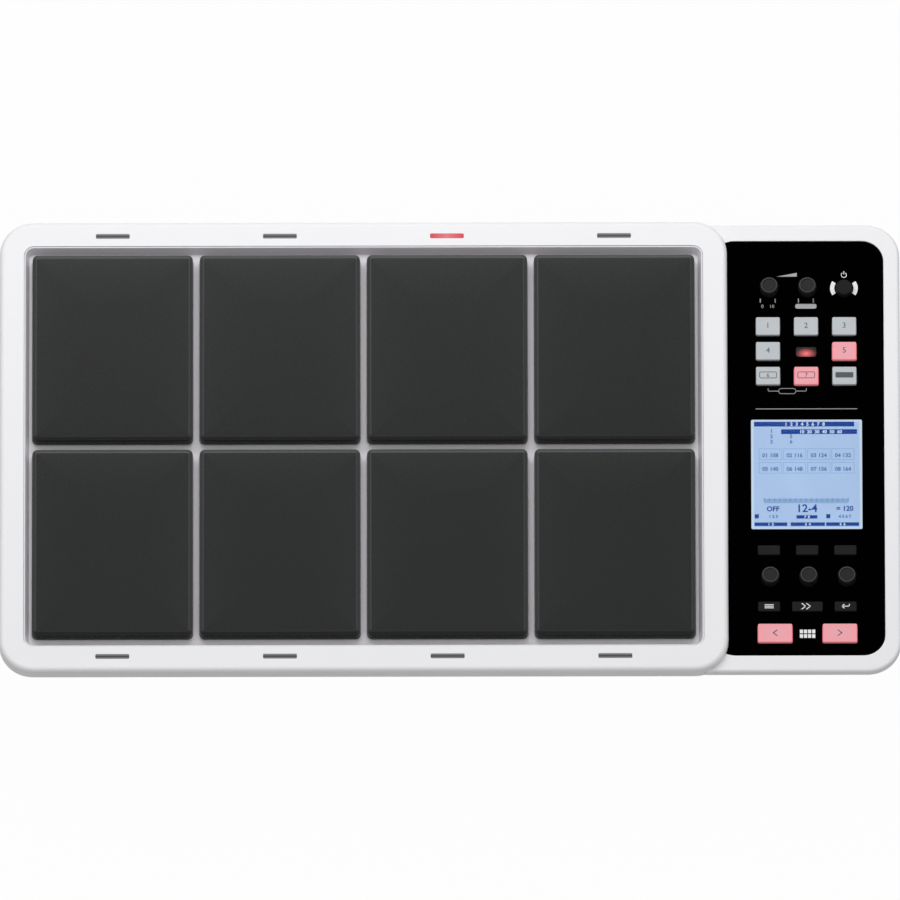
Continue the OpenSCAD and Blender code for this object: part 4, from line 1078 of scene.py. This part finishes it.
def drawFramed(bm, x, y, z0, z1, words):
    frameY = y + keyMarks["rise"]
    addText(bm, words, x, frameY, keyMarks["framedDigit"], z0, z1)
    addFrame(bm, x, frameY, *keyMarks["frame"], keyMarks["frameLine"], z0, z1)


def drawFilled(bm, x, y, z0, z1):
    addOutline(bm, roundedRect(x, y + keyMarks["rise"], *keyMarks["filled"]), z0, z1)


def drawChevron(bm, x, y, z0, z1, side):
    halfW, halfD = keyMarks["chevron"]
    addStroke(bm, [(x - side * halfW, y + halfD), (x + side * halfW, y), (x - side * halfW, y - halfD)],
              keyMarks["chevronLine"], z0, z1)


def drawForward(bm, x, y, z0, z1):
    for shift in keyMarks["forward"]:
        drawChevron(bm, x + shift, y, z0, z1, 1)


def drawLines(bm, x, y, z0, z1):
    lineW, lineD = keyMarks["lines"]
    for k in (-1, 0, 1):
        addBar(bm, x, y + k * keyMarks["lineStep"], lineW, lineD, z0, z1)


def drawReturn(bm, x, y, z0, z1):
    half, rise = keyMarks["return"]
    tipX = x - half + keyMarks["returnTip"]
    addStroke(bm, [(x + half, y + rise), (x + half, y), (x - half, y)], keyMarks["returnLine"], z0, z1)
    addStroke(bm, [(tipX, y + rise), (x - half, y), (tipX, y - rise)], keyMarks["returnLine"], z0, z1)


def keyPrint(name, look, slot, draw, *more):
    x, y, top = middleOf(name)
    bm = bmesh.new()
    draw(bm, x, y, top, top + inkThickness, *more)
    finishPiece(name + "Print", toMesh(name + "Print", bm), look, name)


for i in (1, 2, 3, 4):
    keyPrint(f"grid_key_{i}", "printDark", "grey_key", drawNumber, str(i))
keyPrint("grid_key_5", "printDark", "lit_key", drawNumber, "5")
keyPrint("grid_key_6", "printDark", "grey_key", drawFramed, "6")
keyPrint("grid_key_7", "printDark", "lit_key", drawFramed, "7")
keyPrint("grid_key_8", "printDark", "grey_key", drawFilled)
keyPrint("kit_key_down", "printDark", "lit_key", drawChevron, -1)
keyPrint("kit_key_up", "printDark", "lit_key", drawChevron, 1)
keyPrint("menu_key", "printWhite", "dark_key", drawLines)
keyPrint("quick_key", "printWhite", "dark_key", drawForward)
keyPrint("back_key", "printWhite", "dark_key", drawReturn)
print("key print made")


# Screws and feet

screwShape = {
    "headR": 2.75 * mm,
    "headH": 2.2 * mm,
    "headSides": 24,
    "headRings": 12,
    "slotW": 0.9 * mm,
    "slotL": 3.2 * mm,
    "slotDepth": 1.1 * mm,
}


# Round screw head with a cross recess, set with its middle on each point, so that its lower half shows
def screwTree():
    tree, given = startTree("crossScrews", {
        "Head radius": "Float", "Head height": "Float", "Slot width": "Float", "Slot length": "Float",
        "Slot depth": "Float", "Material": "Material"})
    ball = addNode(tree, "GeometryNodeMeshUVSphere", {
        "Segments": screwShape["headSides"], "Rings": screwShape["headRings"],
        "Radius": given["Head radius"]})
    ratio = addNode(tree, "ShaderNodeMath", {0: given["Head height"], 1: given["Head radius"]},
                    operation="DIVIDE")
    flat = addNode(tree, "ShaderNodeCombineXYZ", {"X": 1.0, "Y": 1.0, "Z": ratio.outputs[0]})
    head = addNode(tree, "GeometryNodeTransform", {"Geometry": ball.outputs[0], "Scale": flat.outputs[0]})
    down = addNode(tree, "ShaderNodeMath", {0: given["Head height"], 1: -1.0}, operation="MULTIPLY")
    deep = addNode(tree, "ShaderNodeMath", {0: given["Slot depth"], 1: 2.0}, operation="MULTIPLY")
    cutAt = addNode(tree, "ShaderNodeCombineXYZ", {"Z": down.outputs[0]})
    arms = addNode(tree, "GeometryNodeJoinGeometry")
    for along, over in (("X", "Y"), ("Y", "X")):
        size = addNode(tree, "ShaderNodeCombineXYZ", {
            along: given["Slot length"], over: given["Slot width"], "Z": deep.outputs[0]})
        arm = addNode(tree, "GeometryNodeMeshCube", {"Size": size.outputs[0]})
        placed = addNode(tree, "GeometryNodeTransform", {
            "Geometry": arm.outputs[0], "Translation": cutAt.outputs[0]})
        tree.links.new(placed.outputs[0], arms.inputs[0])
    carved = addNode(tree, "GeometryNodeMeshBoolean", {
        "Mesh 1": head.outputs[0], "Mesh 2": arms.outputs[0], "Self Intersection": True},
        operation="DIFFERENCE", solver="EXACT")
    screws = addNode(tree, "GeometryNodeInstanceOnPoints", {
        "Points": given["Geometry"], "Instance": carved.outputs[0]})
    endTree(tree, screws.outputs[0], given["Material"])
    return tree


def makeScrews():
    places = [((low.x + high.x) / 2, (low.y + high.y) / 2, low.z + screwShape["headH"])
              for low, high in solidBoxes("case_screws")]
    mesh = runTree("caseScrewHeads", screwTree(), {
        "Head radius": screwShape["headR"], "Head height": screwShape["headH"],
        "Slot width": screwShape["slotW"], "Slot length": screwShape["slotL"],
        "Slot depth": screwShape["slotDepth"], "Material": looks["darkSteel"]},
        pointMesh("screwPlaces", places))
    piece = finishPiece("caseScrewHeads", mesh, "darkSteel", "case", smoothAngle=35)
    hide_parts("case_screws")


footShape = {
    "dishDepth": 1.2 * mm,
    "dishR": 3.2 * mm,
    "dishWall": (3.6 * mm, 0.3 * mm),     # radius and height where the dish turns to the sole
    "soleR": 4.2 * mm,
    "lip": 1.6 * mm,                      # rounding of the sole's edge
    "lipInset": 2.2 * mm,
    "lipSteps": 5,
    "skirtH": 3.0 * mm,
    "sides": 48,
}


# Moulded foot with a round lip and a dished sole
def footMesh(name, r, h):
    lip, lipR, steps = footShape["lip"], r - footShape["lipInset"], footShape["lipSteps"]
    dish = footShape["dishDepth"]
    profile = [(0, dish), (footShape["dishR"], dish), footShape["dishWall"], (footShape["soleR"], 0),
               (lipR, 0)]
    for k in range(1, steps + 1):
        a = math.pi / 2 * k / steps
        profile.append((lipR + lip * math.sin(a), lip * (1 - math.cos(a))))
    profile += [(r, footShape["skirtH"]), (r, h), (0, h)]
    bm = bmesh.new()
    addLathe(bm, profile, footShape["sides"])
    return toMesh(name, bm)


def makeFeet():
    for i, (low, high) in enumerate(solidBoxes("rubber_feet"), 1):
        mesh = footMesh(f"rubberFoot{i}", (high.x - low.x) / 2, high.z - low.z)
        mesh.transform(Matrix.Translation(((low.x + high.x) / 2, (low.y + high.y) / 2, low.z)))
        piece = finishPiece(f"rubberFoot{i}", mesh, "foot", "case", smoothAngle=35)
        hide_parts("rubber_feet")


makeScrews()
makeFeet()
print("screws and feet made")


# Camera, floor and light

camera = {
    "elevation": 69.2,            # degrees above the horizon
    "distance": 24.0,             # far off, so that lines from front to rear hardly close in
    "width": 531.5 * mm,          # width of the picture at the aim point
    "aim": Vector((0, -0.7 * mm, 87.2 * mm)),
    "roll": -0.103,               # degrees
    "sensor": 36,
}


def makeCamera():
    data = bpy.data.cameras.new("photoCamera")
    data.sensor_width = camera["sensor"]
    data.lens = camera["sensor"] * camera["distance"] / camera["width"]
    data.clip_start = 0.1
    data.clip_end = 10 * camera["distance"]
    photoCamera = bpy.data.objects.new("photoCamera", data)
    bpy.context.scene.collection.objects.link(photoCamera)
    tilt = math.radians(90 - camera["elevation"])
    back = Vector((0, -math.sin(tilt), math.cos(tilt)))
    turn = Matrix.Rotation(tilt, 4, "X") @ Matrix.Rotation(math.radians(camera["roll"]), 4, "Z")
    photoCamera.matrix_world = Matrix.Translation(camera["aim"] + back * camera["distance"]) @ turn
    bpy.context.scene.camera = photoCamera


studio = {
    "ambient": 0.42,              # light that the surroundings send to the object
    "floorDiffuse": "#B4B4B4",
    "floorWhite": 0.98,           # share of plain white in what the camera sees of the floor
    "floorHalf": 12.0,
    "floorDrop": 0.2 * mm,
}


# 1 where the surface is seen, straight, in a mirror or through glass, and 0 where it only sends light
def seenDirectly(tree):
    path = addNode(tree, "ShaderNodeLightPath").outputs
    seen = path["Is Camera Ray"]
    for kind in ("Is Transmission Ray", "Is Glossy Ray"):
        seen = addNode(tree, "ShaderNodeMath", {0: seen, 1: path[kind]}, operation="MAXIMUM").outputs[0]
    return seen


# White where it is seen, with a plain level of light for everything else
def makeWorld():
    world = bpy.data.worlds.new("studioWorld")
    world.use_nodes = True
    tree = world.node_tree
    tree.nodes.clear()
    level = addNode(tree, "ShaderNodeMapRange", {
        "Value": seenDirectly(tree), "To Min": studio["ambient"], "To Max": 1.0})
    light = addNode(tree, "ShaderNodeBackground", {"Color": (1, 1, 1, 1), "Strength": level.outputs[0]})
    addNode(tree, "ShaderNodeOutputWorld", {"Surface": light.outputs[0]})
    bpy.context.scene.world = world


# Pale floor: almost white to the camera, with a faint shadow of the object
def makeFloor():
    material = bpy.data.materials.new("paleFloor")
    material.use_nodes = True
    tree = material.node_tree
    tree.nodes.clear()
    share = addNode(tree, "ShaderNodeMath", {0: seenDirectly(tree), 1: studio["floorWhite"]},
                    operation="MULTIPLY")
    white = addNode(tree, "ShaderNodeEmission", {"Color": (1, 1, 1, 1), "Strength": 1.0})
    pale = addNode(tree, "ShaderNodeBsdfDiffuse", {"Color": linear(studio["floorDiffuse"])})
    mixed = addNode(tree, "ShaderNodeMixShader", {
        0: share.outputs[0], 1: pale.outputs[0], 2: white.outputs[0]})
    addNode(tree, "ShaderNodeOutputMaterial", {"Surface": mixed.outputs[0]})
    half, z = studio["floorHalf"], -studio["floorDrop"]
    mesh = bpy.data.meshes.new("floor")
    corners = [(-half, -half, z), (half, -half, z), (half, half, z), (-half, half, z)]
    mesh.from_pydata(corners, [], [(0, 1, 2, 3)])
    mesh.materials.append(material)
    floor = bpy.data.objects.new("floor", mesh)
    bpy.context.scene.collection.objects.link(floor)


softboxes = {
    "rear": {"at": (-0.1, 0.8, 1.15), "aim": (0, 0, 0.09), "size": (2.0, 0.4), "power": 9.6},
    "top": {"at": (-0.1, 0.0, 1.6), "aim": (0, 0, 0.09), "size": (2.0, 0.7), "power": 5.5},
}


def makeSoftbox(name, setting):
    data = bpy.data.lights.new(name, "AREA")
    data.shape = "RECTANGLE"
    data.size, data.size_y = setting["size"]
    data.energy = setting["power"]
    box = bpy.data.objects.new(name, data)
    place = Vector(setting["at"])
    turn = (Vector(setting["aim"]) - place).to_track_quat("-Z", "Y").to_matrix().to_4x4()
    box.matrix_world = Matrix.Translation(place) @ turn
    bpy.context.scene.collection.objects.link(box)


makeCamera()
makeWorld()
makeFloor()
for name, setting in softboxes.items():
    makeSoftbox(name, setting)
bpy.context.scene.view_settings.view_transform = "Standard"
print("camera, floor and light made")
